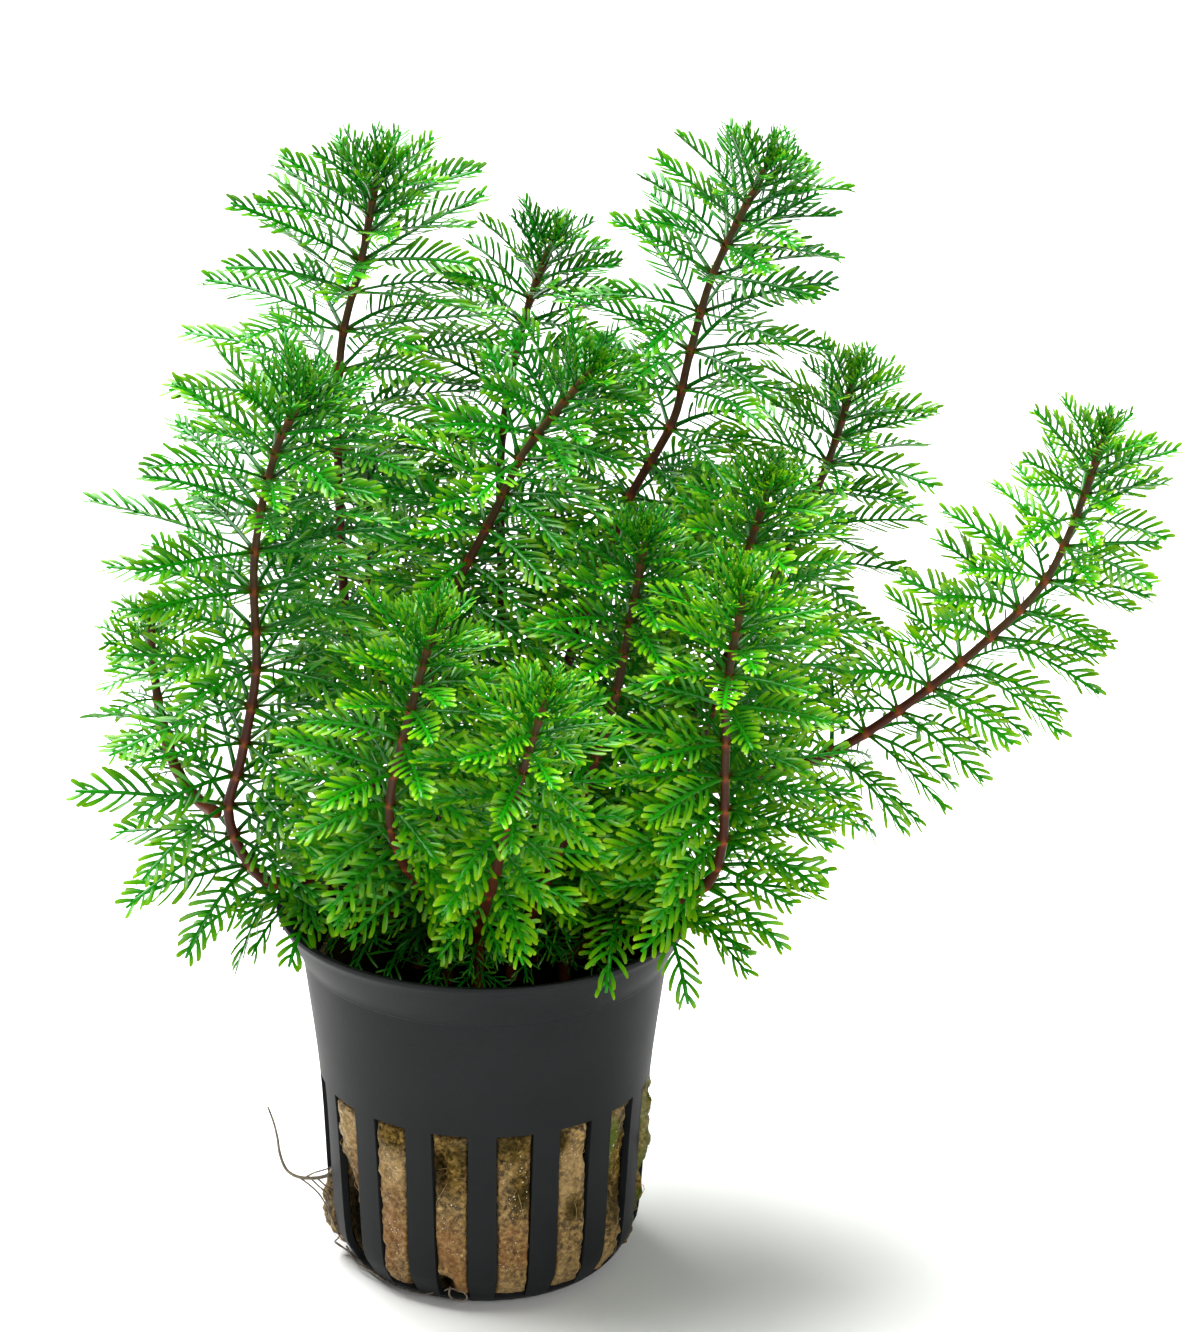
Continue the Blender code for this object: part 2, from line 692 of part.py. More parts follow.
def main():
    for old in list(bpy.data.objects):
        bpy.data.objects.remove(old)
    plant = bpy.data.collections.new("potted_water_plant")
    cutters = bpy.data.collections.new("cutters")
    for collection in (plant, cutters):
        bpy.context.scene.collection.children.link(collection)

    planted = [Vector(points[0]) * MM for points in SHOOT_ROUTES.values()]
    make_pot(plant, cutters)
    make_wool(planted, plant, cutters)
    make_root(plant)
    bpy.context.view_layer.update()
    obstacles = [evaluated_tree("pot"), evaluated_tree("wool_plug")]
    shoots = [Shoot(name, points, seed) for seed, (name, points) in enumerate(shoot_routes().items())]
    fit_blades(shoots, obstacles)
    green = material("feather leaf", (0.06, 0.3, 0.02), 0.4)
    brown = material("bare stem", (0.1, 0.04, 0.025), 0.45)
    for shoot in shoots:
        make_shoot(shoot, green, plant)
        if shoot.foot:
            make_foot(shoot, brown, plant)


main()
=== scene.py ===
"""The looks of a feather-leaved water plant in a slotted nursery pot.

Metres, +Z up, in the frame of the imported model. Every shoot gets its stem and its leaves as two pieces.
"""

import random
from collections import namedtuple
from math import asin, atan2, cos, exp, hypot, radians, sin, tau

import bmesh
import bpy
import numpy as np
from bpy.props import FloatProperty, FloatVectorProperty, IntProperty, PointerProperty
from mathutils import Matrix, Quaternion, Vector, noise


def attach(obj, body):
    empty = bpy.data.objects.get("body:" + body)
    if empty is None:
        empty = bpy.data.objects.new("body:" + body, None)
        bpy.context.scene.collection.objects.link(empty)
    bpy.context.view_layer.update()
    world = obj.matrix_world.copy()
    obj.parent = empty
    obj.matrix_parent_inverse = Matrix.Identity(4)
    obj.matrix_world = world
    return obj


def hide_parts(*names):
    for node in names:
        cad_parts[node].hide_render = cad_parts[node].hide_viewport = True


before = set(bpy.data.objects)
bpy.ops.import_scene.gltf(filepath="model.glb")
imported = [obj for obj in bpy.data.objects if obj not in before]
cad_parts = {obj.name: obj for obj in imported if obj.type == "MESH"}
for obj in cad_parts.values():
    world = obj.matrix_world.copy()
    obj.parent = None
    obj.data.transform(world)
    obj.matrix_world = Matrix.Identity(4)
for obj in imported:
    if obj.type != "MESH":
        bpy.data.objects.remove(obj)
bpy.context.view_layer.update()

bl_info = {
    "name": "Potted Feather Plant",
    "version": (1, 0, 0),
    "blender": (4, 5, 0),
    "location": "3D View > Sidebar > Water Plant",
    "description": "Leaves, stems, roots, wool and pot of a feather-leaved water plant",
    "category": "Add Mesh",
}

MM = 0.001
BODY = "root"

# The pot's outside.
POT_HEIGHT = 51 * MM
RIM_RADIUS = 27.5 * MM
MOUTH_RADIUS = 24.1 * MM
MOUTH_FROM = 50.8 * MM
FOOT_RADIUS = 16 * MM
WALL = 1 * MM
SLOT_COUNT = 16
SLOT_TURN = radians(-1)
SLOT_BOTTOM = 1.5 * MM
SLOT_TOP = 27 * MM
SLOT_TOP_WIDTH = 4.9 * MM
SLOT_BOTTOM_WIDTH = 4.1 * MM
DRAIN_INNER = 7 * MM
DRAIN_OUTER = 13 * MM
DRAIN_COUNT = 4
DRAIN_HALF_TURN = 0.09

# The pot's half section in millimetres, as (radius, height): the floor, the bend, the wall and the collar.
FLOOR_RADII = (0, 3.5, 7, 10, 13, 15.4)
BEND_POINTS = (
    (16, 0), (17.5, 0.6), (18.6, 1.7), (19.6, 3.3), (20.45, 5), (20.95, 9), (22, 27), (24.05, 43.9),
)
COLLAR_POINTS = (
    (24.27, 44.05), (24.36, 44.5), (24.85, 45.5), (25.75, 47.1), (26.65, 48.9), (27.15, 49.9),
    (27.42, 50.15), (27.5, 50.5), (27.4, 50.9),
)
WALL_HEIGHTS = (
    0.15, 0.4, 0.7, 1.1, 1.5, 2, 2.6, 3.3, 4.1, 5, 6.5, 9, 12, 15, 18, 21, 24, 27, 30, 34, 38, 41.5,
    43.3, 43.9,
)

# The mineral wool.
WOOL_TOP = 41.5 * MM
WOOL_BOTTOM = 1.5 * MM
WOOL_GAP = 0.3 * MM
WOOL_SWELL = 1.0 * MM
ALGAE_SLOTS = (3, 4)
ALGAE_SWELL = 1.7 * MM
SLOT_PLAY = 0.08 * MM
WOOL_ROW = 0.38 * MM
WOOL_TOP_RINGS = (0.94, 0.85, 0.74, 0.62, 0.5, 0.38, 0.26, 0.14, 0)
SOCKET_DEPTH = 6 * MM
PLANTED_FROM = 36
UPRIGHT_TO = 40

# Where the leaves grow along a stem, and how they lie.
STEM_SIDES = 4
FIRST_WHORL = 0.8 * MM
FIRST_WHORL_GAP = 1.0 * MM
WHORL_GAP_GROWTH = 1.27
WHORL_GAP = 5.2 * MM
LEAN = radians(33)
YOUNG_WHORLS = 8
YOUNG_WHORL_TURN = radians(45)
WHORL_SWAY = 0.2
BARE_STEM = 11 * MM
YOUNGEST_LEAF = 0.2
LEAF_LENGTH_GAIN = 0.13
BASE_LEAF_LOSS = 0.45
TIP_LIFT = radians(78)
FULL_GROWN_LIFT = radians(14)
LIFT_FADE = 0.86
LEAF_DROOP = radians(19)
OLD_LEAF_SAG = 2.5 * MM
LIGHT = Vector((0, -0.45, 0.9))
LIGHT_TURN = 0.4

# A leaf's face turns this share of the way to this side about its own midrib.
VIEW_SIDE = Vector((0, -0.8, 0.6))
FACE_TURN = 0.45

# A whorl has two more leaves than in the solids. They lean the other way, at this share of the length.
SHORTER = 0.86

# Each shoot as (length of its full-grown leaves in millimetres, brightness of its green, how far the leaves
# part in front of the stem in degrees, share of the leafy stem below which they are limp, points). The
# brightness is partly painted shade: it is low for the shoots at the back. The stem runs through the points,
# in millimetres, from just above the wool to its growing tip. The side shoot has no root.
SHOOTS = {
    "shoot_tall_left": (21, 0.35, 33, 1, (
        (-5, 4, 44), (-12, 4, 58), (-17, 7, 76), (-19, 14, 98), (-19, 21, 119), (-16, 24, 132),
        (-14, 25, 143),
    )),
    "shoot_left": (20.5, 0.32, 44, 1, (
        (-9, -1, 44), (-12, -1, 48.5), (-18, -1, 52), (-24, -2, 54), (-29, -5, 56), (-33, -8, 66),
        (-31, -11, 76), (-29, -12, 88), (-29, -11, 103), (-26, -9, 117), (-22, -8, 124),
    )),
    "shoot_back_middle": (17, 0.25, 33, 1, (
        (-1.5, 6.5, 44), (-1, 6, 56), (1, 8, 70), (2, 14, 86), (2, 24, 106), (5, 30, 121), (9, 32, 132),
    )),
    "shoot_middle": (17, 0.35, 33, 1, (
        (-1.5, 0.5, 44), (-5, 0, 60), (-7, 1, 78), (-5, 2, 91), (1, 2, 104), (5, 1, 113), (14, 0, 125),
    )),
    "shoot_tall_right": (18, 0.25, 33, 1, (
        (3, 4, 44), (6, 4, 60), (10, 7, 79), (18, 10, 102), (24, 12, 113), (26, 14, 121), (29, 15, 132),
        (36, 16, 147),
    )),
    "shoot_back_right": (17, 0.5, 33, 0.8, (
        (6, 7, 44), (12, 8, 54), (23, 10, 66), (33, 14, 82), (40, 17, 94), (45, 19, 106), (48, 20, 117),
    )),
    "shoot_right": (16.5, 0.62, 33, 1, (
        (7, 1, 44), (13, 0, 52), (20, -2, 60), (28, -4, 76), (32, -4, 89), (33, -4, 100), (36, -4, 111),
    )),
    "shoot_front_right": (16.5, 0.68, 48, 1, (
        (10.5, -4.5, 44), (15, -5, 48.5), (22, -8, 53), (28, -12, 58), (30, -17, 66), (30, -21, 80),
        (30, -22, 90), (32, -22, 104),
    )),
    "shoot_far_right": (15.5, 0.68, 58, 0.5, (
        (10.5, 3.5, 44), (15, 3, 54), (24, 3, 63), (33, 4, 66), (45, 4, 70), (55, 4, 77), (65, 4, 86),
        (72, 4, 94), (76, 4, 104), (79, 4, 115),
    )),
    "shoot_front_left": (15.5, 0.55, 44, 1, (
        (-5, -5.5, 44), (-7, -9, 54), (-11, -17, 65), (-12, -24, 75), (-10, -27, 86), (-6, -26, 101),
    )),
    "shoot_front_middle": (14.5, 0.65, 33, 1, (
        (-1, -9.5, 44), (-1, -13, 52), (1, -21, 63), (3, -28, 75), (6, -32, 88), (8, -32, 94),
    )),
    "shoot_centre": (16, 0.4, 33, 1, (
        (3.5, -5, 44), (7, -6, 54), (12, -8, 68), (16, -12, 83), (18, -12, 94), (20, -12, 107),
    )),
    "shoot_rear_left": (17, 0.25, 33, 1, (
        (-6, 9, 44), (-10, 17, 56), (-14, 28, 70), (-16, 35, 85), (-16, 38, 98),
    )),
    "shoot_rear_right": (17, 0.25, 33, 1, (
        (5, 11, 44), (12, 19, 55), (20, 29, 69), (25, 35, 83), (28, 37, 96),
    )),
    "side_shoot_left": (12.5, 0.5, 33, 0.7, (
        (-34.6, -6.6, 66), (-37, -3, 66), (-40, 0, 69), (-42, 1, 76), (-43, 2, 85), (-43, 2, 91),
    )),
}
SIDE_SHOOT = "side_shoot_left"

# How far leaves keep from the pot and the wool.
ROOM_OVER_LIP = 1 * MM
ROOM_INSIDE = 2.5 * MM
ROOM_OUTSIDE = 1.2 * MM
ROOM_OVER_WOOL = 1.2 * MM

# Withered leaves inside the pot, below the whorls of the solids: their size, how far down the first whorl is,
# the gap between whorls, and how deep they reach.
WITHERED = 0.8
FIRST_WITHERED = 3.5 * MM
WITHERED_GAP = 3.2 * MM
LOWEST_LEAF = 2.5 * MM

# How limp the withered and the hanging leaves are.
WITHERED_WILT = 0.9
HANGING_WILT = 0.15

# A leaf is brighter than its shoot's green by this much per age past the middle one; shade is painted to the
# back.
AGE_TONE = 0.3
MIDDLE_AGE = 0.3
PAINTED_BACK_SHADE = 0.16
TONE_SPREAD = 0.12

# Where the midribs and the pinnae start on the leaf's map, and how much of it they take up.
RIB_MAP = (0.005, 0.24)
PINNA_MAP = (0.3, 0.68)

# How far a node's swelling and its rusty ring reach along the stem, and how far down it is fully rusty.
SWELLING_REACH = 0.55 * MM
RING_REACH = 0.4 * MM
RUSTY_FROM = 12 * MM

# Single leaves that hang over the pot's lip, as (shoot, root, heading, length, lift, droop, sag), in
# millimetres and degrees.
HANGING_LEAVES = (
    ("shoot_left", (-20.5, -1.8, 52.8), (-0.28, -0.96), 17, 20, 40, 3.4),
    ("shoot_left", (-22, -1.9, 53.2), (-0.75, -0.66), 12, 8, 50, 3),
    ("shoot_front_right", (18, -6.3, 50.6), (-0.14, -0.99), 22, 48, 95, 1.2),
    ("shoot_front_right", (22, -8, 53), (0.3, -0.95), 15, 5, 60, 1.6),
    ("shoot_front_right", (24, -9.4, 54.4), (0.86, -0.5), 12, -4, 25, 1.6),
)

# The long root leaves the left-hand slot, in which it starts, and turns up. Points in millimetres.
ROOT_ROUTE = (
    (-20.6, -3.8, 12.2), (-21.6, -3.9, 11.8), (-23.5, -3.9, 11.6), (-25.2, -3.9, 11.9),
    (-26.5, -3.8, 12.9), (-27.3, -3.8, 15.2), (-27.6, -3.8, 17.6), (-28.1, -3.8, 20),
    (-28.8, -3.8, 22.2),
)

# The camera, fitted to the pot's rim, slots and base in the photograph.
CAMERA_PLACE = (0, -600 * MM, 328 * MM)
CAMERA_PITCH = radians(22.14)
CAMERA_YAW = radians(1.40)
CAMERA_ROLL = radians(0.64)
FOCAL_PIXELS = 5031
IMAGE_HEIGHT = 1332
SENSOR = 36
PLANT_MIDDLE = Vector((0, 0, 70 * MM))

Shoot = namedtuple("Shoot", "leaf_length tone parted wilted_below points")
Station = namedtuple("Station", "at along out")
Leaf = namedtuple("Leaf", "root out along length lift droop sag age")


# Colours and nodes

def linear(colour):
    """An sRGB hex colour as linear red, green, blue and alpha."""
    shares = [int(colour[i : i + 2], 16) / 255 for i in (1, 3, 5)]
    return (*[c / 12.92 if c <= 0.04045 else ((c + 0.055) / 1.055) ** 2.4 for c in shares], 1)


def feed(tree, node, inputs):
    """Sets a node's inputs, each by its name or number, to a value or to the socket that feeds it."""
    for key, value in inputs.items():
        if isinstance(value, bpy.types.NodeSocket):
            tree.links.new(value, node.inputs[key])
        else:
            node.inputs[key].default_value = value


def add(tree, kind, inputs=None, out=0, stops=(), **settings):
    """Adds a node with its settings and links. Returns its output of that name or number."""
    node = tree.nodes.new("ShaderNode" + kind)
    for name, value in settings.items():
        setattr(node, name, value)
    feed(tree, node, inputs or {})
    for number, (place, colour) in enumerate(stops):
        ramp = node.color_ramp.elements
        stop = ramp[number] if number < len(ramp) else ramp.new(place)
        stop.position = place
        stop.color = linear(colour) if isinstance(colour, str) else (colour, colour, colour, 1)
    return node.outputs[out]


def new_material(name):
    """(material, node tree, its Principled shader)."""
    made = bpy.data.materials.new(name)
    made.use_nodes = True
    return made, made.node_tree, made.node_tree.nodes["Principled BSDF"]


# Routes and frames, as the model's own solids have them

def smooth_route(points, samples=12):
    """Points on a smooth curve through the given points, which are in millimetres."""
    knots = [Vector(p) * MM for p in points]
    knots = [2 * knots[0] - knots[1], *knots, 2 * knots[-1] - knots[-2]]
    heading = [(c - a) / ((c - b).length + (b - a).length) for a, b, c in zip(knots, knots[1:], knots[2:])]
    curve = []
    for start, end, leave, arrive in zip(knots[1:], knots[2:-1], heading, heading[1:]):
        span = (end - start).length
        for i in range(samples):
            t = i / samples
            rest = 1 - t
            curve.append(
                (1 + 2 * t) * rest * rest * start + t * t * (3 - 2 * t) * end
                + span * t * rest * (rest * leave - t * arrive)
            )
    return [*curve, knots[-2]]


def shoots():
    """Every Shoot by its name. The rooted ones start upright in the wool."""
    found = {}
    for name, row in SHOOTS.items():
        shoot = Shoot(*row)
        if name != SIDE_SHOOT:
            x, y, _ = shoot.points[0]
            shoot = shoot._replace(points=((x, y, PLANTED_FROM), (x, y, UPRIGHT_TO), *shoot.points))
        found[name] = shoot
    return found


def stations(points, samples=12):
    """(length, place), where place(distance) is the Station at that distance below the route's end."""
    curve = smooth_route(points, samples)[::-1]
    reached = [0.0]
    for a, b in zip(curve, curve[1:]):
        reached.append(reached[-1] + (b - a).length)
    alongs, outs = [], []
    out = Vector((1, 0, 0))
    for i in range(len(curve)):
        along = (curve[max(i - 1, 0)] - curve[min(i + 1, len(curve) - 1)]).normalized()
        out = (out - out.dot(along) * along).normalized()
        alongs.append(along)
        outs.append(out)

    def place(distance):
        i = max(k for k in range(len(curve) - 1) if reached[k] <= distance)
        t = (distance - reached[i]) / (reached[i + 1] - reached[i])
        return Station(
            curve[i].lerp(curve[i + 1], t),
            alongs[i].lerp(alongs[i + 1], t).normalized(),
            outs[i].lerp(outs[i + 1], t).normalized(),
        )

    return reached[-1], place


def whorl_distances(length):
    """How far below the tip each whorl of leaves grows: crowded at the tip, then evenly spaced."""
    found = []
    at, gap = FIRST_WHORL, FIRST_WHORL_GAP
    while at < length - SOCKET_DEPTH - BARE_STEM:
        found.append(at)
        at += gap
        gap = min(gap * WHORL_GAP_GROWTH, WHORL_GAP)
    return found


def withered_distances(length):
    """How far below the tip each withered whorl in the pot grows."""
    last = whorl_distances(length)[-1]
    return np.arange(last + FIRST_WITHERED, length - SOCKET_DEPTH - LOWEST_LEAF, WITHERED_GAP).tolist()


def leaf_point(leaf, s):
    """The point at share s of the leaf's length along its midrib, which arches down."""
    angle = leaf.lift - leaf.droop * s
    across = (sin(leaf.lift) - sin(angle)) / leaf.droop
    up = (cos(angle) - cos(leaf.lift)) / leaf.droop
    return leaf.root + leaf.length * (across * leaf.out + up * leaf.along) - Vector((0, 0, leaf.sag * s * s))


def pot_is_near(point):
    """Whether a point is in the pot's wall or lip, or in the wool, with a little room round them."""
    radius = hypot(point.x, point.y)
    if point.z > POT_HEIGHT + ROOM_OVER_LIP:
        return False
    inside = radius < MOUTH_RADIUS - ROOM_INSIDE and point.z > WOOL_TOP + ROOM_OVER_WOOL
    return not inside and radius < RIM_RADIUS + ROOM_OUTSIDE


def clear_of_pot(leaf):
    """The leaf, lifted until it no longer runs through the pot or the wool. None if it can't be."""
    for _ in range(9):
        if not any(pot_is_near(leaf_point(leaf, s / 5)) for s in range(1, 6)):
            return leaf
        leaf = leaf._replace(lift=leaf.lift + radians(12), sag=leaf.sag * 0.5)
    return None


def leaf_at(here, angle, number, age, full_length, chance):
    """A leaf of the whorl with that number from the tip, growing at an angle round the stem."""
    side = here.along.cross(here.out)
    out = cos(angle) * here.out + sin(angle) * side
    grown = min(1, YOUNGEST_LEAF + LEAF_LENGTH_GAIN * number) * (1 - BASE_LEAF_LOSS * age**4)
    lift = FULL_GROWN_LIFT + (TIP_LIFT - FULL_GROWN_LIFT) * LIFT_FADE**number
    reach = full_length * grown * chance.uniform(0.88, 1.08)
    rise = lift + radians(chance.uniform(-9, 9))
    upper_face = cos(rise) * here.along - sin(rise) * out
    sway = Quaternion().slerp(upper_face.rotation_difference(LIGHT), LIGHT_TURN * min(1, number / 6))
    leaf = Leaf(
        here.at,
        sway @ out,
        sway @ here.along,
        reach,
        rise,
        LEAF_DROOP * chance.uniform(0.3, 1.6),
        OLD_LEAF_SAG * age * grown * chance.uniform(0.2, 1.4),
        age,
    )
    return clear_of_pot(leaf)


def leaves_of(shoot, seed):
    """(whorls, withered leaves): every whorl of the shoot from the tip down, as a list of its leaves.

    The first leaves of a whorl lie where the solids have blades. The rest are shorter and grow between them.
    """
    chance, more = random.Random(seed), random.Random(1000 + seed)
    full_length, parted = shoot.leaf_length * MM, radians(shoot.parted)
    length, place = stations(shoot.points)
    distances = whorl_distances(length)
    whorls = []
    for number, distance in enumerate(distances):
        here = place(distance)
        turn = chance.uniform(-WHORL_SWAY, WHORL_SWAY) + YOUNG_WHORL_TURN * min(number, YOUNG_WHORLS)
        lean = (0, LEAN, 0, parted) if number // 2 % 2 else (0, -LEAN, 0, -parted)
        age = distance / distances[-1]
        angles = [turn + tau * side / STEM_SIDES + lean[side] for side in range(STEM_SIDES)]
        leaves = [leaf_at(here, angle, number, age, full_length, chance) for angle in angles]
        for side in (1, 3):
            angle = turn + tau * side / STEM_SIDES - lean[side]
            leaves.append(leaf_at(here, angle, number, age, SHORTER * full_length, more))
        whorls.append(leaves)
    withered = []
    for distance in withered_distances(length):
        turn = more.uniform(0, tau)
        for side in range(STEM_SIDES):
            angle = turn + tau * side / STEM_SIDES
            withered.append(leaf_at(place(distance), angle, len(whorls), 1, WITHERED * full_length, more))
    return whorls, withered


def hanging_leaves(name):
    """The leaves of a shoot that hang over the pot's lip."""
    found = []
    for shoot, root, heading, length, lift, droop, sag in HANGING_LEAVES:
        if shoot == name:
            out = Vector((*heading, 0)).normalized()
            turns = radians(lift), radians(droop)
            found.append(Leaf(Vector(root) * MM, out, Vector((0, 0, 1)), length * MM, *turns, sag * MM, 0.8))
    return found


# Meshes

def add_tube(bm, rows):
    """Adds a closed skin through rows of points, an array of rows x columns x 3.

    Each row runs round anticlockwise as seen from the end that the rows lead to. A row whose points all
    coincide becomes a pole, and any other end is capped.
    """
    count, columns = rows.shape[:2]
    layer = bm.loops.layers.uv.verify()
    grid = bmesh.ops.create_grid(bm, x_segments=columns, y_segments=count - 1, size=1, calc_uvs=True)["verts"]
    for vert in grid:
        column = round((vert.co.x + 1) / 2 * columns)
        row = round((vert.co.y + 1) / 2 * (count - 1))
        for loop in vert.link_loops:
            loop[layer].uv = (column / columns, row / (count - 1))
        vert.co = rows[row, column % columns]
    bmesh.ops.remove_doubles(bm, verts=grid, dist=1e-7)
    made = [vert for vert in grid if vert.is_valid]
    ends = [edge for edge in {e for vert in made for e in vert.link_edges} if edge.is_boundary]
    bmesh.ops.holes_fill(bm, edges=ends, sides=0)
    return made


def ring_rows(places, radii, sides):
    """The rows of a round tube through Stations, with a radius at each."""
    rows = []
    for place, radius in zip(places, radii):
        side = place.along.cross(place.out)
        turns = [tau * i / sides for i in range(sides)]
        rows.append([place.at + radius * (cos(t) * place.out + sin(t) * side) for t in turns])
    return np.array(rows)


def in_scene(name, data):
    """A new object in the scene."""
    made = bpy.data.objects.new(name, data)
    bpy.context.scene.collection.objects.link(made)
    return made


def finished(mesh, name, surface, slot, *nodes):
    """Makes a mesh a piece of the object with its material and body, and hides the nodes it stands for. The
    slot is not used.
    """
    mesh.name = name
    mesh.materials.append(surface)
    piece = in_scene(name, mesh)
    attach(piece, BODY)
    if nodes:
        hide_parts(*nodes)
    return piece


def mesh_from(bm, name):
    """The bmesh as a smooth-shaded mesh."""
    mesh = bpy.data.meshes.new(name)
    bm.to_mesh(mesh)
    bm.free()
    mesh.shade_smooth()
    return mesh


def mesh_of_copies(name, parts):
    """Many bent copies of templates as one smooth-shaded mesh, with its map named OFBake.

    A part is a template, its copies x corners x 3 points, and a (u, v) for every point of every copy.
    """
    corners, sizes, maps, rims = [], [], [], []
    count = 0
    for template, points, uvs in parts:
        copies, each = points.shape[:2]
        corners.append((template.corners + count + each * np.arange(copies)[:, None]).ravel())
        sizes.append(np.tile(template.sizes, copies))
        maps.append(uvs[:, template.corners].ravel())
        rims.append(np.tile(template.rims, copies))
        count += copies * each
    corners, sizes, maps, rims = [np.concatenate(values) for values in (corners, sizes, maps, rims)]
    mesh = bpy.data.meshes.new(name)
    mesh.vertices.add(count)
    mesh.loops.add(len(corners))
    mesh.polygons.add(len(sizes))
    mesh.vertices.foreach_set("co", np.concatenate([p.ravel() for _, p, _ in parts]).astype(np.float32))
    mesh.loops.foreach_set("vertex_index", corners.astype(np.int32))
    mesh.polygons.foreach_set("loop_start", (np.cumsum(sizes) - sizes).astype(np.int32))
    mesh.update(calc_edges=True)
    mesh.uv_layers.new(name="OFBake").data.foreach_set("uv", maps.astype(np.float32))
    mesh.shade_smooth()
    ends = np.empty(2 * len(mesh.edges), np.int32)
    mesh.edges.foreach_get("vertices", ends)
    start_rims, end_rims = rims[ends.reshape(-1, 2)].T
    sharp = mesh.attributes.new("sharp_edge", "BOOLEAN", "EDGE")
    sharp.data.foreach_set("value", (start_rims & end_rims) > 0)
    mesh.validate()
    return mesh


class Template:
    """A closed blade along X from 0 to 1, one unit wide in Y and thick in Z, to be bent into shape.

    Its two rims are sharp, so that its faces shade as flat ones.
    """

    def __init__(self, levels, widths, sides):
        bm = bmesh.new()
        turns = tau * np.arange(sides) / sides
        rows = np.array([[(x, 0.5 * w * cos(t), 0.5 * w * sin(t)) for t in turns]
                         for x, w in zip(levels, widths)])
        add_tube(bm, rows)
        bm.verts.index_update()
        self.points = np.array([v.co for v in bm.verts])
        y, z = self.points[:, 1], self.points[:, 2]
        on_rim = np.abs(z) < 1e-6
        self.rims = np.where(on_rim & (y > -1e-6), 1, 0) | np.where(on_rim & (y < 1e-6), 2, 0)
        self.corners = np.array([v.index for f in bm.faces for v in f.verts])
        self.sizes = np.array([len(f.verts) for f in bm.faces])
        bm.free()


# Settings

class LeafSettings(bpy.types.PropertyGroup):
    """The feather leaves."""

    pinna_spacing: FloatProperty(
        name="Pinna spacing", description="Between neighbouring pinnae on one side of a leaf",
        default=1.5 * MM, unit="LENGTH")
    pinna_length: FloatProperty(
        name="Pinna length", description="The longest pinna of a leaf 20 mm long",
        default=4.2 * MM, unit="LENGTH")
    pinna_width: FloatProperty(
        name="Pinna width", description="Of the youngest pinnae, where they are widest",
        default=0.52 * MM, unit="LENGTH")
    pinna_thickness: FloatProperty(
        name="Pinna thickness", description="Through a pinna's middle", default=0.2 * MM, unit="LENGTH")
    midrib_width: FloatProperty(
        name="Midrib width", description="At the leaf's base", default=0.74 * MM, unit="LENGTH")
    petiole: FloatProperty(
        name="Bare stalk", description="The share of the leaf below its first pinna",
        default=0.2, subtype="FACTOR")
    roughness: FloatProperty(
        name="Roughness", description="Of the wet cuticle", default=0.24, subtype="FACTOR")


class StemSettings(bpy.types.PropertyGroup):
    """The stems."""

    tip_radius: FloatProperty(
        name="Tip radius", description="Just below the bud", default=0.46 * MM, unit="LENGTH")
    base_radius: FloatProperty(
        name="Base radius", description="Where the stem enters the wool", default=0.82 * MM, unit="LENGTH")
    node_swelling: FloatProperty(
        name="Node swelling", description="How much a node is thicker than the stem",
        default=0.22, subtype="FACTOR")
    bark: FloatVectorProperty(
        name="Stem colour", description="Between the nodes", subtype="COLOR", size=4,
        default=linear("#3c190c"))
    old_bark: FloatVectorProperty(
        name="Old stem colour", description="Near the wool", subtype="COLOR", size=4,
        default=linear("#763a16"))
    node: FloatVectorProperty(
        name="Node colour", description="Of the ring at each node", subtype="COLOR", size=4,
        default=linear("#74340f"))


class PotSettings(bpy.types.PropertyGroup):
    """The nursery pot."""

    plastic: FloatVectorProperty(
        name="Plastic", description="Colour of the moulded plastic", subtype="COLOR", size=4,
        default=linear("#1d1f20"))
    roughness: FloatProperty(
        name="Roughness", description="Of the moulded surface", default=0.5, subtype="FACTOR")
    edge: FloatProperty(
        name="Edge rounding", description="Radius of the moulded edges", default=0.12 * MM, unit="LENGTH")


class WoolSettings(bpy.types.PropertyGroup):
    """The mineral wool."""

    lump: FloatProperty(
        name="Lump height", description="How far the tufts stand out", default=0.45 * MM, unit="LENGTH")
    grain: FloatProperty(
        name="Fibre knot size", description="Across one knot of fibres", default=0.7 * MM, unit="LENGTH")
    strands: IntProperty(
        name="Loose strands", description="Loose fibres in each slot", default=9)


class RootSettings(bpy.types.PropertyGroup):
    """The roots outside the pot."""

    base_radius: FloatProperty(
        name="Base radius", description="Of the long root at the pot", default=0.28 * MM, unit="LENGTH")
    tip_radius: FloatProperty(
        name="Tip radius", description="Of the long root at its tip", default=0.13 * MM, unit="LENGTH")
    rootlet_radius: FloatProperty(
        name="Rootlet radius", description="Of the fine roots", default=0.13 * MM, unit="LENGTH")


class StageSettings(bpy.types.PropertyGroup):
    """The floor and lights."""

    floor: FloatVectorProperty(
        name="Floor", description="Colour of the floor", subtype="COLOR", size=4, default=linear("#fafaf8"))
    sky: FloatProperty(name="Sky", description="Strength of the even light", default=0.2)
    key: FloatProperty(name="Key light", description="Power of the overhead light", default=26, unit="POWER")
    fill: FloatProperty(name="Fill light", description="Power of the front light", default=5, unit="POWER")


class PlantSettings(bpy.types.PropertyGroup):
    """All settings of the potted plant."""

    leaf: PointerProperty(type=LeafSettings)
    stem: PointerProperty(type=StemSettings)
    pot: PointerProperty(type=PotSettings)
    wool: PointerProperty(type=WoolSettings)
    root: PointerProperty(type=RootSettings)
    stage: PointerProperty(type=StageSettings)


# Leaves

PINNA = Template((0, 0.36, 0.72, 0.95, 1), (0.62, 0.76, 1, 0.8, 0), 4)
RIB_LEVELS = (0, 0.12, 0.3, 0.5, 0.7, 0.88, 1)
RIB = Template((*RIB_LEVELS, 1), (1, 0.85, 0.78, 0.74, 0.7, 0.8, 0.5, 0), 4)


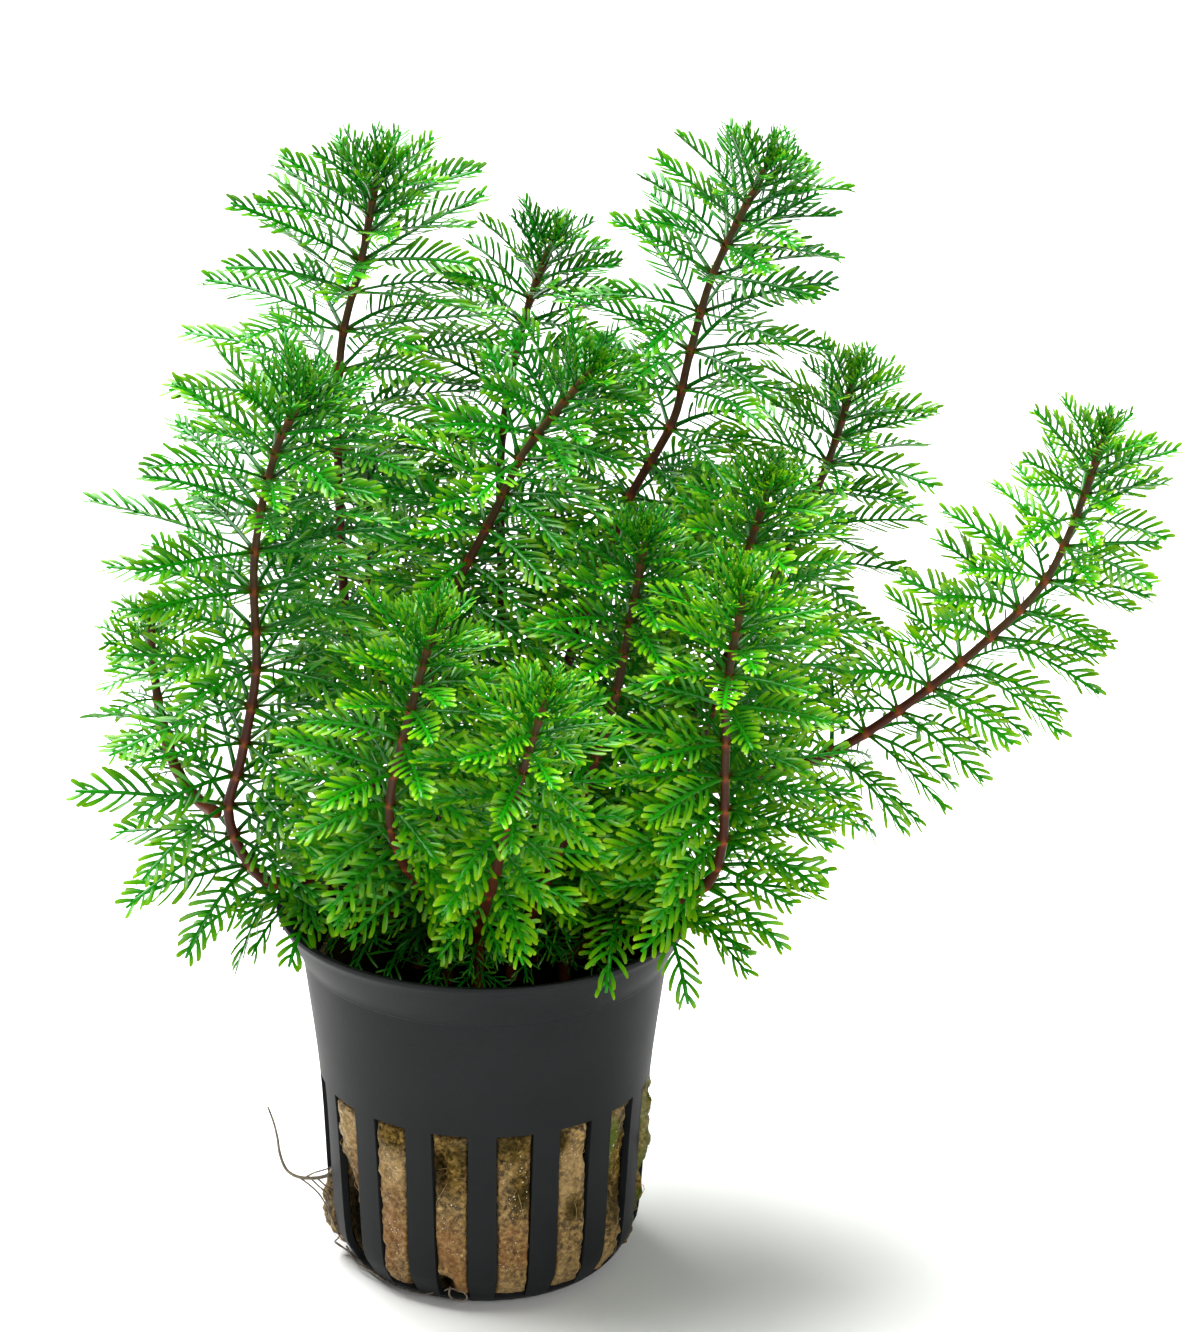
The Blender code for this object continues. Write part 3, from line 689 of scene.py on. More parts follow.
def leaf_surface(settings):
    """Fresh leaf with a wet cuticle: the smooth skin gives white streaks along the pinnae's upper sides.

    The map's U runs up the midrib from 0 to 0.25 and along a pinna from 0.3 to 1. V runs from shaded to lit
    green.
    """
    made, tree, shader = new_material("fresh feather leaf, wet cuticle")
    along = add(tree, "SeparateXYZ", {0: add(tree, "UVMap", uv_map="OFBake")})
    # Painted light: deep is the green as painted in shade, bright as painted lit; V mixes them.
    deep = add(tree, "ValToRGB", {"Fac": along}, stops=(
        (0, "#3a2010"), (0.012, "#24340a"), (0.035, "#045404"), (0.25, "#017004"), (0.3, "#015204"),
        (0.6, "#006204"), (0.9, "#127608"), (0.98, "#2e4a10")))
    bright = add(tree, "ValToRGB", {"Fac": along}, stops=(
        (0, "#5a3618"), (0.012, "#44560c"), (0.035, "#1a7602"), (0.25, "#1c8c01"), (0.3, "#168402"),
        (0.6, "#3e9802"), (0.9, "#7eb606"), (0.98, "#94ae1c")))
    tone = along.node.outputs["Y"]
    colour = add(tree, "Mix", {0: tone, 6: deep, 7: bright}, 2, data_type="RGBA")
    feed(tree, shader, {"Base Color": colour, "Roughness": settings.roughness, "Specular IOR Level": 0.25})
    return made


def leaf_frame(leaf, s, twist):
    """(point, direction, left side, upper side) at share s of the leaf, turned by twist about the midrib."""
    angle = leaf.lift - leaf.droop * s
    heading = cos(angle) * leaf.out + sin(angle) * leaf.along
    heading = (heading - Vector((0, 0, 2 * leaf.sag * s / leaf.length))).normalized()
    across = leaf.along.cross(leaf.out)
    across = (across - across.dot(heading) * heading).normalized()
    upper = heading.cross(across)
    turned = cos(twist) * across + sin(twist) * upper
    return leaf_point(leaf, s), heading, turned, heading.cross(turned)


def pinna_reach(u):
    """A pinna's length as a share of the leaf's longest, at share u of the feathered part."""
    if u < 0.35:
        return 1 - 0.4 * (1 - u / 0.35) ** 2
    return 1 - 0.6 * ((u - 0.35) / 0.65) ** 1.5


def grow_leaf(leaf, youth, wilt, tone, chance, settings, pinnae, ribs):
    """Adds a row to pinnae for every pinna of the leaf, and one to ribs for its midrib.

    youth is 1 in the bud and fades down the shoot. wilt is 0 in a firm leaf and 1 in a limp one.
    """
    _, _, across, upper = leaf_frame(leaf, 0.4, 0)
    twist = FACE_TURN * atan2(-VIEW_SIDE.dot(across), VIEW_SIDE.dot(upper)) + chance.gauss(0, 0.2)
    curl = chance.gauss(0, 0.25)
    feathered = (1 - settings.petiole) * leaf.length
    pairs = max(4, round(1.5 + feathered / settings.pinna_spacing / (1 + 0.7 * leaf.age**2 + 0.4 * wilt)))
    size = leaf.length / (20 * MM)
    longest = settings.pinna_length * (0.38 + 0.62 * size) * min(1, 2.5 * size) * (1 + 0.3 * leaf.age)
    scale = min(1, 0.35 + size)
    widest = settings.pinna_width * scale * (1 + 0.45 * leaf.age) * (1 - 0.5 * wilt)
    fold = 0.24 + 0.7 * youth + chance.gauss(0, 0.1) - 0.2 * leaf.age**2
    frames = [leaf_frame(leaf, s, twist + curl * s) for s in RIB_LEVELS]
    ribs.append((
        [f[0] for f in frames], [f[2] for f in frames], [f[3] for f in frames],
        settings.midrib_width * scale, tone,
    ))
    for pair in range(pairs):
        for side in (-1, 1):
            u = (pair + 0.5 + 0.12 * side + chance.uniform(-0.12, 0.12)) / (pairs + 0.3)
            s = settings.petiole + (1 - settings.petiole) * u
            at, heading, across, upper = leaf_frame(leaf, s, twist + curl * s)
            angle = radians(62 - 24 * u + chance.gauss(0, 4))
            raised = fold + chance.gauss(0, 0.1)
            outward = side * cos(raised) * across + sin(raised) * upper
            along = cos(angle) * heading + sin(angle) * outward
            forward = (heading - heading.dot(along) * along).normalized()
            face = along.cross(forward)
            length = longest * pinna_reach(u) * chance.uniform(0.88, 1.1)
            roll = chance.gauss(0.18 * side, 0.24)
            width = cos(roll) * forward + sin(roll) * face
            pinnae.append((
                at, along, forward, upper, width, along.cross(width), length,
                widest * chance.uniform(0.88, 1.12), settings.pinna_thickness * scale,
                0.2 + chance.gauss(0, 0.06 + 0.4 * wilt),
                chance.gauss(-0.05, 0.08 + 0.3 * wilt) + 0.2 * youth - 0.3 * wilt,
                tone + 0.24 * (u - 0.45) + chance.uniform(-0.04, 0.04),
            ))


def leaf_map(part, x, tone):
    """The map places of every point of the pinnae or midribs, which are x of the way along."""
    start, span = part
    v = np.clip(tone, 0.02, 0.98)
    return np.stack((np.broadcast_to(start + span * x, v.shape), v), -1)


def bent_pinnae(rows):
    """The points and map places of every pinna, as arrays of pinnae x points."""
    values = [np.array(column)[:, None] for column in zip(*rows)]
    at, along, forward, upper, width, depth = values[:6]
    length, wide, thick, bend, rise, tone = values[6:]
    x, y, z = PINNA.points.T[:, None, :]
    curve = length * x * x
    shifts = (length * x, curve * bend, curve * rise, wide * y, thick * z)
    points = at + sum(s[..., None] * way for s, way in zip(shifts, (along, forward, upper, width, depth)))
    return points, leaf_map(PINNA_MAP, x, tone + 0.02 * y)


def bent_ribs(rows):
    """The points and map places of every midrib, as arrays of midribs x points."""
    levels = np.searchsorted(np.array(RIB_LEVELS), RIB.points[:, 0] - 1e-4).clip(0, len(RIB_LEVELS) - 1)
    values = [np.array(column) for column in zip(*rows)]
    at, across, upper = [places[:, levels] for places in values[:3]]
    wide, tone = [numbers[:, None] for numbers in values[3:]]
    x, y, z = RIB.points.T[:, None, :]
    points = at + (wide * y)[..., None] * across + (0.7 * wide * z)[..., None] * upper
    return points, leaf_map(RIB_MAP, x, tone + 0.02 * y)


def make_leaves(name, shoot, seed, surface, settings):
    """All leaves of one shoot as one mesh."""
    chance = random.Random(100 + seed)
    pinnae, ribs = [], []
    whorls, withered = leaves_of(shoot, seed)
    for number, leaves in enumerate(whorls):
        youth = exp(-number / 3)
        for leaf in leaves:
            if leaf is None:
                continue
            # Painted shade: leaves that point to the back are darker.
            tone = shoot.tone + AGE_TONE * (leaf.age - MIDDLE_AGE) - PAINTED_BACK_SHADE * leaf.out.y
            tone += chance.gauss(0, TONE_SPREAD)
            wilt = 0.0
            if shoot.wilted_below < 1:
                share = (leaf.age - shoot.wilted_below) / (1 - shoot.wilted_below)
                wilt = max(0.0, share) * chance.uniform(0.4, 1)
            grow_leaf(leaf, youth, wilt, tone, chance, settings, pinnae, ribs)
    for leaf in withered:
        if leaf is not None:
            # Withered leaves low in the pot get the shaded end of the green: partly their own dull colour,
            # partly painted shade.
            grow_leaf(leaf, 0, WITHERED_WILT, chance.uniform(0, 0.3), chance, settings, pinnae, ribs)
    for leaf in hanging_leaves(name):
        grow_leaf(leaf, 0, HANGING_WILT, chance.uniform(0.3, 0.6), chance, settings, pinnae, ribs)
    mesh = mesh_of_copies(name, [(PINNA, *bent_pinnae(pinnae)), (RIB, *bent_ribs(ribs))])
    finished(mesh, f"{name}_leaves", surface, "leaf", name)


class WATERPLANT_OT_leaves(bpy.types.Operator):
    """Grow the feather leaves of every shoot"""

    bl_idname = "waterplant.leaves"
    bl_label = "Leaves"

    def execute(self, context):
        settings = context.scene.water_plant.leaf
        surface = leaf_surface(settings)
        for seed, (name, shoot) in enumerate(shoots().items()):
            make_leaves(name, shoot, seed, surface, settings)
        return {"FINISHED"}


# Stems

def stem_surface(settings):
    """Water plant stem, smooth skin: dark brown, orange-brown low down, with rusty rings at the nodes."""
    made, tree, shader = new_material("water plant stem, smooth skin")
    ring = add(tree, "Attribute", out="Fac", attribute_name="node_ring")
    height = add(tree, "Attribute", out="Fac", attribute_name="height_share")
    place = add(tree, "TexCoord", out="Object")
    streak = add(tree, "TexNoise", {"Vector": place, "Scale": 1 / (1.6 * MM), "Detail": 4})
    green = add(tree, "ValToRGB", {"Fac": height}, stops=((0, 0.0), (0.55, 0.0), (0.95, 0.75)))
    patch = add(tree, "Math", {0: green, 1: streak}, operation="MULTIPLY")
    skin = add(tree, "Mix", {0: patch, 6: settings.bark, 7: linear("#41502a")}, 2, data_type="RGBA")
    low = add(tree, "ValToRGB", {"Fac": height}, stops=((0.05, 0.6), (0.3, 0.0)))
    old = add(tree, "Mix", {0: low, 6: skin, 7: settings.old_bark}, 2, data_type="RGBA")
    rust = add(tree, "Mix", {0: ring, 6: old, 7: settings.node}, 2, data_type="RGBA")
    shade = add(tree, "Math", {0: streak, 1: 0.6, 2: 0.7}, operation="MULTIPLY_ADD")
    colour = add(tree, "Mix", {0: 1.0, 6: rust, 7: shade}, 2, data_type="RGBA", blend_type="MULTIPLY")
    feed(tree, shader, {"Base Color": colour, "Roughness": 0.45, "Specular IOR Level": 0.15})
    return made


def make_stem(name, points, surface, settings):
    """One stem, swollen at its nodes and closed at its tip."""
    length, place = stations(points)
    whorls = whorl_distances(length)
    levels = {0.0, length}
    for distance in whorls:
        for shift in (-0.8, -0.35, -0.1, 0.15, 0.5, 1.0):
            levels.add(min(max(distance + shift * MM, 0.0), length))
    for start, end in zip(whorls, whorls[1:]):
        if end - start > 3 * MM:
            levels.update((start + (end - start) * k / 4 for k in (2, 3)))
    levels.update(np.arange(whorls[-1] + 2 * MM, length, 1.5 * MM).tolist())
    levels = sorted(levels, reverse=True)
    radii, rings = [], []
    for distance in levels:
        share = min(1, 1.2 * distance / length)
        radius = settings.tip_radius + (settings.base_radius - settings.tip_radius) * share**1.3
        nearest = min(abs(distance - at) for at in (*whorls, *withered_distances(length)))
        swelling = exp(-((nearest / SWELLING_REACH) ** 2))
        young = min(1, 0.3 + distance / (4 * MM))
        radii.append(radius * young * (1 + settings.node_swelling * swelling))
        rings.append(exp(-((nearest / RING_REACH) ** 2)) * min(1, distance / RUSTY_FROM))
    bm = bmesh.new()
    add_tube(bm, ring_rows([place(distance) for distance in levels], radii, 10))
    ring_layer = bm.verts.layers.float.new("node_ring")
    height_layer = bm.verts.layers.float.new("height_share")
    uv = bm.loops.layers.uv.verify()
    for vert in bm.verts:
        shares = [loop[uv].uv.y for loop in vert.link_loops if len(loop.face.verts) == 4]
        row = round(max(shares) * (len(levels) - 1))
        vert[ring_layer] = rings[row]
        vert[height_layer] = 1 - levels[row] / length
    mesh = mesh_from(bm, name)
    mesh.uv_layers[0].name = "OFBake"
    nodes = (name,) if name == SIDE_SHOOT else (name, f"{name}_foot")
    finished(mesh, f"{name}_stem", surface, "stem", *nodes)


class WATERPLANT_OT_stems(bpy.types.Operator):
    """Make the stem of every shoot"""

    bl_idname = "waterplant.stems"
    bl_label = "Stems"

    def execute(self, context):
        settings = context.scene.water_plant.stem
        surface = stem_surface(settings)
        for name, shoot in shoots().items():
            make_stem(name, shoot.points, surface, settings)
        return {"FINISHED"}


# Pot

def slot_angle(number):
    """The turn of a slot's middle from the front, positive to the right."""
    return SLOT_TURN + tau * (number + 0.5) / SLOT_COUNT


def slot_half_width(z):
    """Half of a slot's width at height z."""
    share = min(1, max(0, (z - SLOT_BOTTOM) / (SLOT_TOP - SLOT_BOTTOM)))
    return 0.5 * (SLOT_BOTTOM_WIDTH + (SLOT_TOP_WIDTH - SLOT_BOTTOM_WIDTH) * share)


def pot_profile():
    """The pot's outside as (radius, height) pairs in metres, from the middle of its underside to its lip."""
    bend = smooth_route([(r, 0, z) for r, z in BEND_POINTS])
    heights = [point.z / MM for point in bend]
    radii = [point.x / MM for point in bend]
    floor = [(r, 0) for r in FLOOR_RADII]
    wall = [(float(np.interp(z, heights, radii)), z) for z in WALL_HEIGHTS]
    return [(r * MM, z * MM) for r, z in (*floor, (16, 0), *wall, *COLLAR_POINTS)]


def pot_columns(radius, z):
    """The turns of the pot's columns at one height: four across each slot and four across each rib."""
    half = asin(slot_half_width(z) / max(radius, FOOT_RADIUS))
    pitch = tau / SLOT_COUNT
    turns = []
    for number in range(SLOT_COUNT):
        middle = slot_angle(number)
        turns += [middle + half * k / 2 for k in (-2, -1, 0, 1)]
        turns += [middle + half + (pitch - 2 * half) * k / 4 for k in range(4)]
    return turns


def plastic_surface(settings):
    """Polypropylene, injection moulded and black: a dull sheen with a fine sparked grain and faint scuffs."""
    made, tree, shader = new_material("polypropylene, moulded black")
    place = add(tree, "TexCoord", out="Object")
    grain = add(tree, "TexNoise", {"Vector": place, "Scale": 1 / (0.35 * MM), "Detail": 3})
    cloud = add(tree, "TexNoise", {"Vector": place, "Scale": 1 / (9 * MM), "Detail": 4})
    shade = add(tree, "ValToRGB", {"Fac": cloud}, stops=((0.3, 0.8), (0.7, 1.0)))
    colour = add(tree, "Mix", {0: 1.0, 6: settings.plastic, 7: shade}, 2,
                 data_type="RGBA", blend_type="MULTIPLY")
    least, most = settings.roughness - 0.06, settings.roughness + 0.1
    gloss = add(tree, "MapRange", {"Value": cloud, "To Min": least, "To Max": most})
    bump = add(tree, "Bump", {"Height": grain, "Strength": 0.35, "Distance": 0.06 * MM})
    feed(tree, shader, {"Base Color": colour, "Roughness": gloss, "Specular IOR Level": 0.08, "Normal": bump})
    return made


class WATERPLANT_OT_pot(bpy.types.Operator):
    """Mould the slotted nursery pot"""

    bl_idname = "waterplant.pot"
    bl_label = "Pot"

    def execute(self, context):
        settings = context.scene.water_plant.pot
        rows = []
        for radius, height in pot_profile():
            turns = pot_columns(radius, height)
            rows.append([(radius * sin(t), -radius * cos(t), height) for t in turns])
        bm = bmesh.new()
        add_tube(bm, np.array(rows))
        bmesh.ops.delete(bm, geom=[f for f in bm.faces if is_open(f)], context="FACES")
        mesh = mesh_from(bm, "pot")
        piece = finished(mesh, "nursery_pot", plastic_surface(settings), "pot_plastic", "pot")
        wall = piece.modifiers.new("wall", "SOLIDIFY")
        wall.thickness = WALL
        wall.offset = -1
        wall.use_even_offset = True
        edges = piece.modifiers.new("rounded edges", "BEVEL")
        edges.width = settings.edge
        edges.segments = 2
        edges.limit_method = "ANGLE"
        edges.angle_limit = radians(40)
        edges.harden_normals = True
        return {"FINISHED"}


def is_open(face):
    """Whether a face of the pot's skin lies over its mouth, a slot or a drain slot."""
    middle = face.calc_center_median()
    if middle.z > MOUTH_FROM:
        return True
    radius = hypot(middle.x, middle.y)
    turn = atan2(middle.x, -middle.y)
    if middle.z < 0.05 * MM:
        pitch = tau / DRAIN_COUNT
        drain = (turn - tau / 8) / pitch
        return DRAIN_INNER < radius < DRAIN_OUTER and abs(drain - round(drain)) * pitch < DRAIN_HALF_TURN
    number = round((turn - SLOT_TURN) / (tau / SLOT_COUNT) - 0.5)
    lateral = radius * sin(turn - slot_angle(number))
    return SLOT_BOTTOM < middle.z < SLOT_TOP and abs(lateral) < slot_half_width(middle.z)


# Mineral wool

# Hollows in the wool as (slot, sideways, height, half width, half height, depth), in millimetres. Slots are
# counted to the right from the front. A depth below zero is a bulge. The sunken ones are painted dark as
# shade.
HOLLOWS = (
    (-3, -0.9, 9, 2.2, 8, 2.6), (-3, 0.8, 2.5, 2.4, 2.2, 2.5), (-2, 1.9, 2.4, 0.9, 1.5, 2.5),
    (-1, -1.2, 3.2, 1.3, 2, 2.6), (-1, -1.4, 21.5, 1, 2.6, 1.6), (1, 2.2, 22.5, 0.5, 4.6, 2),
    (2, 1.5, 19, 0.8, 7, 2.4), (2, 1.7, 8, 0.5, 6, 1.6), (3, 0.9, 11, 1, 7, 1.5),
    (-4, 0.6, 12, 1.2, 5, 1.5), (-4, -0.3, 6, 2.4, 5, -1.1), (-5, 0, 21, 4, 9, 0.9),
    (-4, 0, 20, 4, 7, 1.7), (3, 0, 6, 3, 4, 0.9), (4, 0, 7, 3, 4, 0.8), (5, -1, 8, 1.5, 4, 2),
    (6, 1, 20, 1.6, 4, 2), (7, 0, 4, 2.5, 3, 2), (-6, -1, 16, 1.5, 5, 2), (-8, 1, 9, 1.6, 4, 2),
)

# Stains on the wool by kind, as (slot, sideways, height, half width, half height), in millimetres. Under
# "wet" is no stain but patches where white specks are painted as glints.
STAINS = {
    "moss": (
        (-3, 0, 10, 3, 9), (-2, 0.5, 25.5, 3, 2.4), (-1, 0, 22.5, 3, 5.2), (0, 0, 25, 3, 2.8),
        (0, 1, 19, 1.6, 4), (2, 0.3, 17, 3, 9), (1, 0.2, 14.5, 1.3, 2), (-4, 0.5, 19, 3, 6),
        (6, 0, 10, 3, 9), (-7, 0, 20, 3, 7), (1, -1.8, 25, 0.9, 1.6), (4, 1, 8, 3, 5), (3, 0, 12, 3, 4),
        (3, 0.6, 24, 1.5, 2), (-1, -1, 23, 1.5, 3.5),
    ),
    "algae": (
        (3, 0, 18, 4, 12), (4, 0, 18, 4, 10), (2, -1.6, 22, 0.9, 4), (5, 0, 20, 3, 6),
    ),
    "rust": (
        (-1, 1.3, 4.5, 1.5, 4.5), (-1, 0, 10, 2.5, 4), (0, 0, 9.5, 2.6, 4), (-2, 0, 11, 2.4, 7),
        (5, 0, 12, 3, 6), (-5, 0, 9, 3, 6), (-3, 1.5, 16, 1, 5),
    ),
    "pale": (
        (-3, 0.3, 23, 3, 4.6), (0, 0, 4, 2.6, 2.2), (1, -0.4, 20, 2.4, 4), (1, -0.5, 5, 2.6, 3),
        (-2, -0.4, 20, 2.2, 3), (2, -0.6, 4, 2, 3.4), (7, 0, 14, 3, 8), (-8, 0, 18, 3, 7),
    ),
    # Painted highlights: no stain here, but where white specks are painted as glints of wet fibres.
    "wet": (
        (-2, 0.3, 20, 1.8, 4), (-2, 0, 10, 1.5, 4), (-1, -0.6, 15, 2, 3.4), (-1, 1, 10, 1.6, 2),
        (0, 0.2, 19, 2.2, 6), (0, -0.4, 9, 1.8, 3), (1, -1, 23, 1.4, 2), (2, -0.5, 21, 1.6, 4),
        (3, 0, 20, 2, 5), (4, 0, 12, 2, 7), (6, 0, 18, 2, 6), (-5, 0, 15, 2, 6),
    ),
}
STAIN_AND_SHADE_KINDS = (*STAINS, "hollow_shade")


def blob(sideways, height, spot):
    """How strongly a place in a slot lies in a spot, given as (sideways, height, half width, half height)."""
    across = (sideways - spot[0]) / spot[2]
    up = (height - spot[1]) / spot[3]
    return exp(-((across * across + up * up) ** 2) * 0.7)


def wool_columns():
    """(slot, share of its half width) of the wool's columns: dense in the slots, sparse behind the ribs."""
    columns = []
    for number in range(SLOT_COUNT):
        columns += [(number, k / 9) for k in range(-9, 10)]
        columns += [(number, 1 + k / 4) for k in (1, 2, 3)]
    return columns


def wool_place(number, share, z, inner, settings):
    """(point, stain and shade marks) of the wool's skin in a slot, at a share of its half width and at height
    z.
    """
    half = slot_half_width(z) - SLOT_PLAY
    pitch = tau / SLOT_COUNT
    angle = slot_angle(number)
    slot = (number + SLOT_COUNT // 2) % SLOT_COUNT - SLOT_COUNT // 2
    edge = asin(half / inner)
    if abs(share) <= 1:
        turn = angle + edge * share
    else:
        turn = angle + edge + (pitch - 2 * edge) * (share - 1)
    here = Vector((inner * sin(turn), -inner * cos(turn), z))
    stains_and_shade = dict.fromkeys(STAIN_AND_SHADE_KINDS, 0.0)
    lift = 0.0
    if abs(share) <= 1:
        sideways, height = share * half / MM, z / MM
        opening = min(1, max(0, (z - SLOT_BOTTOM) / (1 * MM))) * min(1, max(0, (SLOT_TOP - z) / (0.5 * MM)))
        swell = ALGAE_SWELL if number in ALGAE_SLOTS else WOOL_SWELL
        lift = WALL + WOOL_GAP - 0.2 * MM
        lift += (swell - 0.7 * MM) * (1 - share * share) * (0.7 + 0.9 * noise.noise(here / (4 * MM)))
        lift += noise.fractal(here / (1.7 * MM), 1.0, 2.0, 4) * settings.lump
        for spot in HOLLOWS:
            if spot[0] == slot:
                deep = blob(sideways, height, spot[1:5])
                lift -= spot[5] * MM * deep * (0.8 + 0.3 * noise.noise(here / (1.1 * MM)))
                # Painted shade: a sunken place is painted darker the deeper it is.
                if spot[5] > 0:
                    stains_and_shade["hollow_shade"] = max(stains_and_shade["hollow_shade"], deep * min(1, spot[5] / 2))
        lift *= opening * (1 - share**14)
        for kind, spots in STAINS.items():
            for at, *spot in spots:
                if at == slot:
                    stains_and_shade[kind] = max(stains_and_shade[kind], blob(sideways, height, spot))
    radius = inner + lift
    return Vector((radius * sin(turn), -radius * cos(turn), z)), stains_and_shade


# The colours of the stain kinds, in the order in which they are laid over the wool, and how strongly they
# cover.
WOOL_TINTS = (
    ("pale", "#b0925c", 0.5), ("rust", "#84500f", 0.55),
    ("moss", "#262310", 0.85), ("algae", "#515f17", 0.85),
)


def wool_surface(settings):
    """Mineral wool, wet and grown over: knots of fibres, golden to brown, with green and rusty patches."""
    made, tree, shader = new_material("mineral wool, wet")
    place = add(tree, "TexCoord", out="Object")
    knots = add(tree, "TexNoise", {
        "Vector": place, "Scale": 1 / settings.grain, "Detail": 6, "Roughness": 0.7,
    })
    drift = add(tree, "TexNoise", {"Vector": place, "Scale": 1 / (4.5 * MM), "Detail": 3})
    pores = add(tree, "TexVoronoi", {"Vector": place, "Scale": 1 / (0.8 * MM)})
    marks = {kind: add(tree, "Attribute", out="Fac", attribute_name=kind) for kind in STAIN_AND_SHADE_KINDS}
    # Golden on the fibre knots, dark brown to near black between them: partly the fibres' colour, partly
    # painted shade.
    colour = add(tree, "ValToRGB", {"Fac": knots}, stops=(
        (0.32, "#1e160a"), (0.43, "#4c3a1a"), (0.52, "#7d6230"), (0.62, "#a08146"), (0.78, "#cdb680")))
    patchy = add(tree, "MapRange", {"Value": drift, "From Min": 0.3, "From Max": 0.6})
    for kind, tint, strength in WOOL_TINTS:
        share = add(tree, "Math", {0: marks[kind], 1: patchy}, operation="MULTIPLY")
        share = add(tree, "Math", {0: share, 1: strength}, operation="MULTIPLY")
        colour = add(tree, "Mix", {0: share, 6: colour, 7: linear(tint)}, 2, data_type="RGBA")
    # Painted shade: the sunken places and the top in the pot are painted near black.
    colour = add(tree, "Mix", {0: marks["hollow_shade"], 6: colour, 7: linear("#0c0904")}, 2, data_type="RGBA")
    # Painted highlights: white specks painted in the "wet" patches stand for glints on wet fibres.
    painted_glint_cells = add(tree, "TexVoronoi", {"Vector": place, "Scale": 1 / (0.42 * MM)})
    own_size = painted_glint_cells.node.outputs["Color"]
    size = add(tree, "Math", {0: own_size, 1: 0.42, 2: -0.13}, operation="MULTIPLY_ADD")
    size = add(tree, "Math", {0: size, 1: marks["wet"]}, operation="MULTIPLY")
    painted_glint = add(tree, "Math", {0: painted_glint_cells, 1: size}, operation="LESS_THAN")
    colour = add(tree, "Mix", {0: painted_glint, 6: colour, 7: linear("#efe6cf")}, 2, data_type="RGBA")
    gloss = add(tree, "MapRange", {
        "Value": knots, "From Min": 0.4, "From Max": 0.7, "To Min": 0.75, "To Max": 0.22,
    })
    dull = add(tree, "Math", {0: marks["hollow_shade"], 1: marks["moss"]}, operation="MAXIMUM")
    shine = add(tree, "Math", {0: dull, 1: -0.45, 2: 0.45}, operation="MULTIPLY_ADD")
    height = add(tree, "Math", {0: knots, 1: pores}, operation="ADD")
    bump = add(tree, "Bump", {"Height": height, "Strength": 0.9, "Distance": 0.35 * MM})
    feed(tree, shader, {
        "Base Color": colour, "Roughness": gloss, "Normal": bump, "Specular IOR Level": shine,
    })
    return made


def wall_radius(z):
    """The radius of the pot's outside at height z."""
    profile = [(r, h) for r, h in pot_profile() if h > 0]
    return float(np.interp(z, [h for _, h in profile], [r for r, _ in profile]))


def add_strands(bm, layer, settings):
    """Adds loose fibres that stand off the wool in the slots, and marks them as pale."""
    chance = random.Random(5)
    for number in range(SLOT_COUNT * settings.strands):
        slot = number % SLOT_COUNT
        share, z = chance.uniform(-0.75, 0.75), chance.uniform(3, 24) * MM
        step = Vector((chance.gauss(0, 0.25), chance.gauss(0, 0.8) * MM))
        route = []
        for bend, off in enumerate((-0.2, 0.25, 0.3, -0.2)):
            at = min(max(share + step.x * bend, -0.85), 0.85)
            height = min(max(z + step.y * bend, SLOT_BOTTOM + 0.8 * MM), SLOT_TOP - 0.8 * MM)
            skin, _ = wool_place(slot, at, height, wall_radius(height) - WALL - WOOL_GAP, settings)
            outward = Vector((skin.x, skin.y, 0)).normalized()
            route.append((skin + off * MM * outward) / MM)
        for vert in add_tube(bm, root_tube(route, 0.05 * MM, 0.03 * MM, 4, 8)):
            vert[layer] = 1


def make_wool(settings):
    """The plug, with its skin pressed out through the slots."""
    columns = wool_columns()
    levels = np.arange(WOOL_BOTTOM, SLOT_TOP + 0.6 * MM, WOOL_ROW).tolist()
    levels += np.linspace(levels[-1] + 1 * MM, WOOL_TOP, 8).tolist()
    rows, marks = [], []
    for z in levels:
        inner = wall_radius(z) - WALL - WOOL_GAP
        made = [wool_place(number, share, z, inner, settings) for number, share in columns]
        rows.append([point for point, _ in made])
        marks.append([stains_and_shade for _, stains_and_shade in made])
    top = levels[-1]
    for share in WOOL_TOP_RINGS:
        ring = []
        for point in rows[len(levels) - 1]:
            here = Vector((point.x * share, point.y * share, top))
            ring.append(here + Vector((0, 0, 0.6 * MM * noise.noise(here / (3 * MM)) if share else 0)))
        rows.append(ring)
        # The top, down in the pot, is marked for full painted shade.
        marks.append([{**dict.fromkeys(STAIN_AND_SHADE_KINDS, 0), "moss": 0.8, "hollow_shade": 1.0}] * len(columns))
    bm = bmesh.new()
    add_tube(bm, np.array(rows))
    layers = {kind: bm.verts.layers.float.new(kind) for kind in STAIN_AND_SHADE_KINDS}
    uv = bm.loops.layers.uv.verify()
    for vert in bm.verts:
        loop = next(loop for loop in vert.link_loops if len(loop.face.verts) <= 4)
        column = round(loop[uv].uv.x * len(columns)) % len(columns)
        row = round(loop[uv].uv.y * (len(rows) - 1))
        for kind, layer in layers.items():
            vert[layer] = marks[row][column][kind]
    add_strands(bm, layers["pale"], settings)
    return mesh_from(bm, "wool")


class WATERPLANT_OT_wool(bpy.types.Operator):
    """Pack the pot with mineral wool"""

    bl_idname = "waterplant.wool"
    bl_label = "Mineral wool"

    def execute(self, context):
        settings = context.scene.water_plant.wool
        finished(make_wool(settings), "mineral_wool", wool_surface(settings), "mineral_wool", "wool_plug")
        return {"FINISHED"}


# Roots

def root_surface():
    """Water root, thin and smooth: grey-brown, paler where it is wet."""
    made, tree, shader = new_material("water root")
    place = add(tree, "TexCoord", out="Object")
    patches = add(tree, "TexNoise", {"Vector": place, "Scale": 1 / (1.5 * MM), "Detail": 3})
    colour = add(tree, "ValToRGB", {"Fac": patches}, stops=((0.35, "#3b352c"), (0.7, "#877a63")))
    feed(tree, shader, {"Base Color": colour, "Roughness": 0.5})
    return made


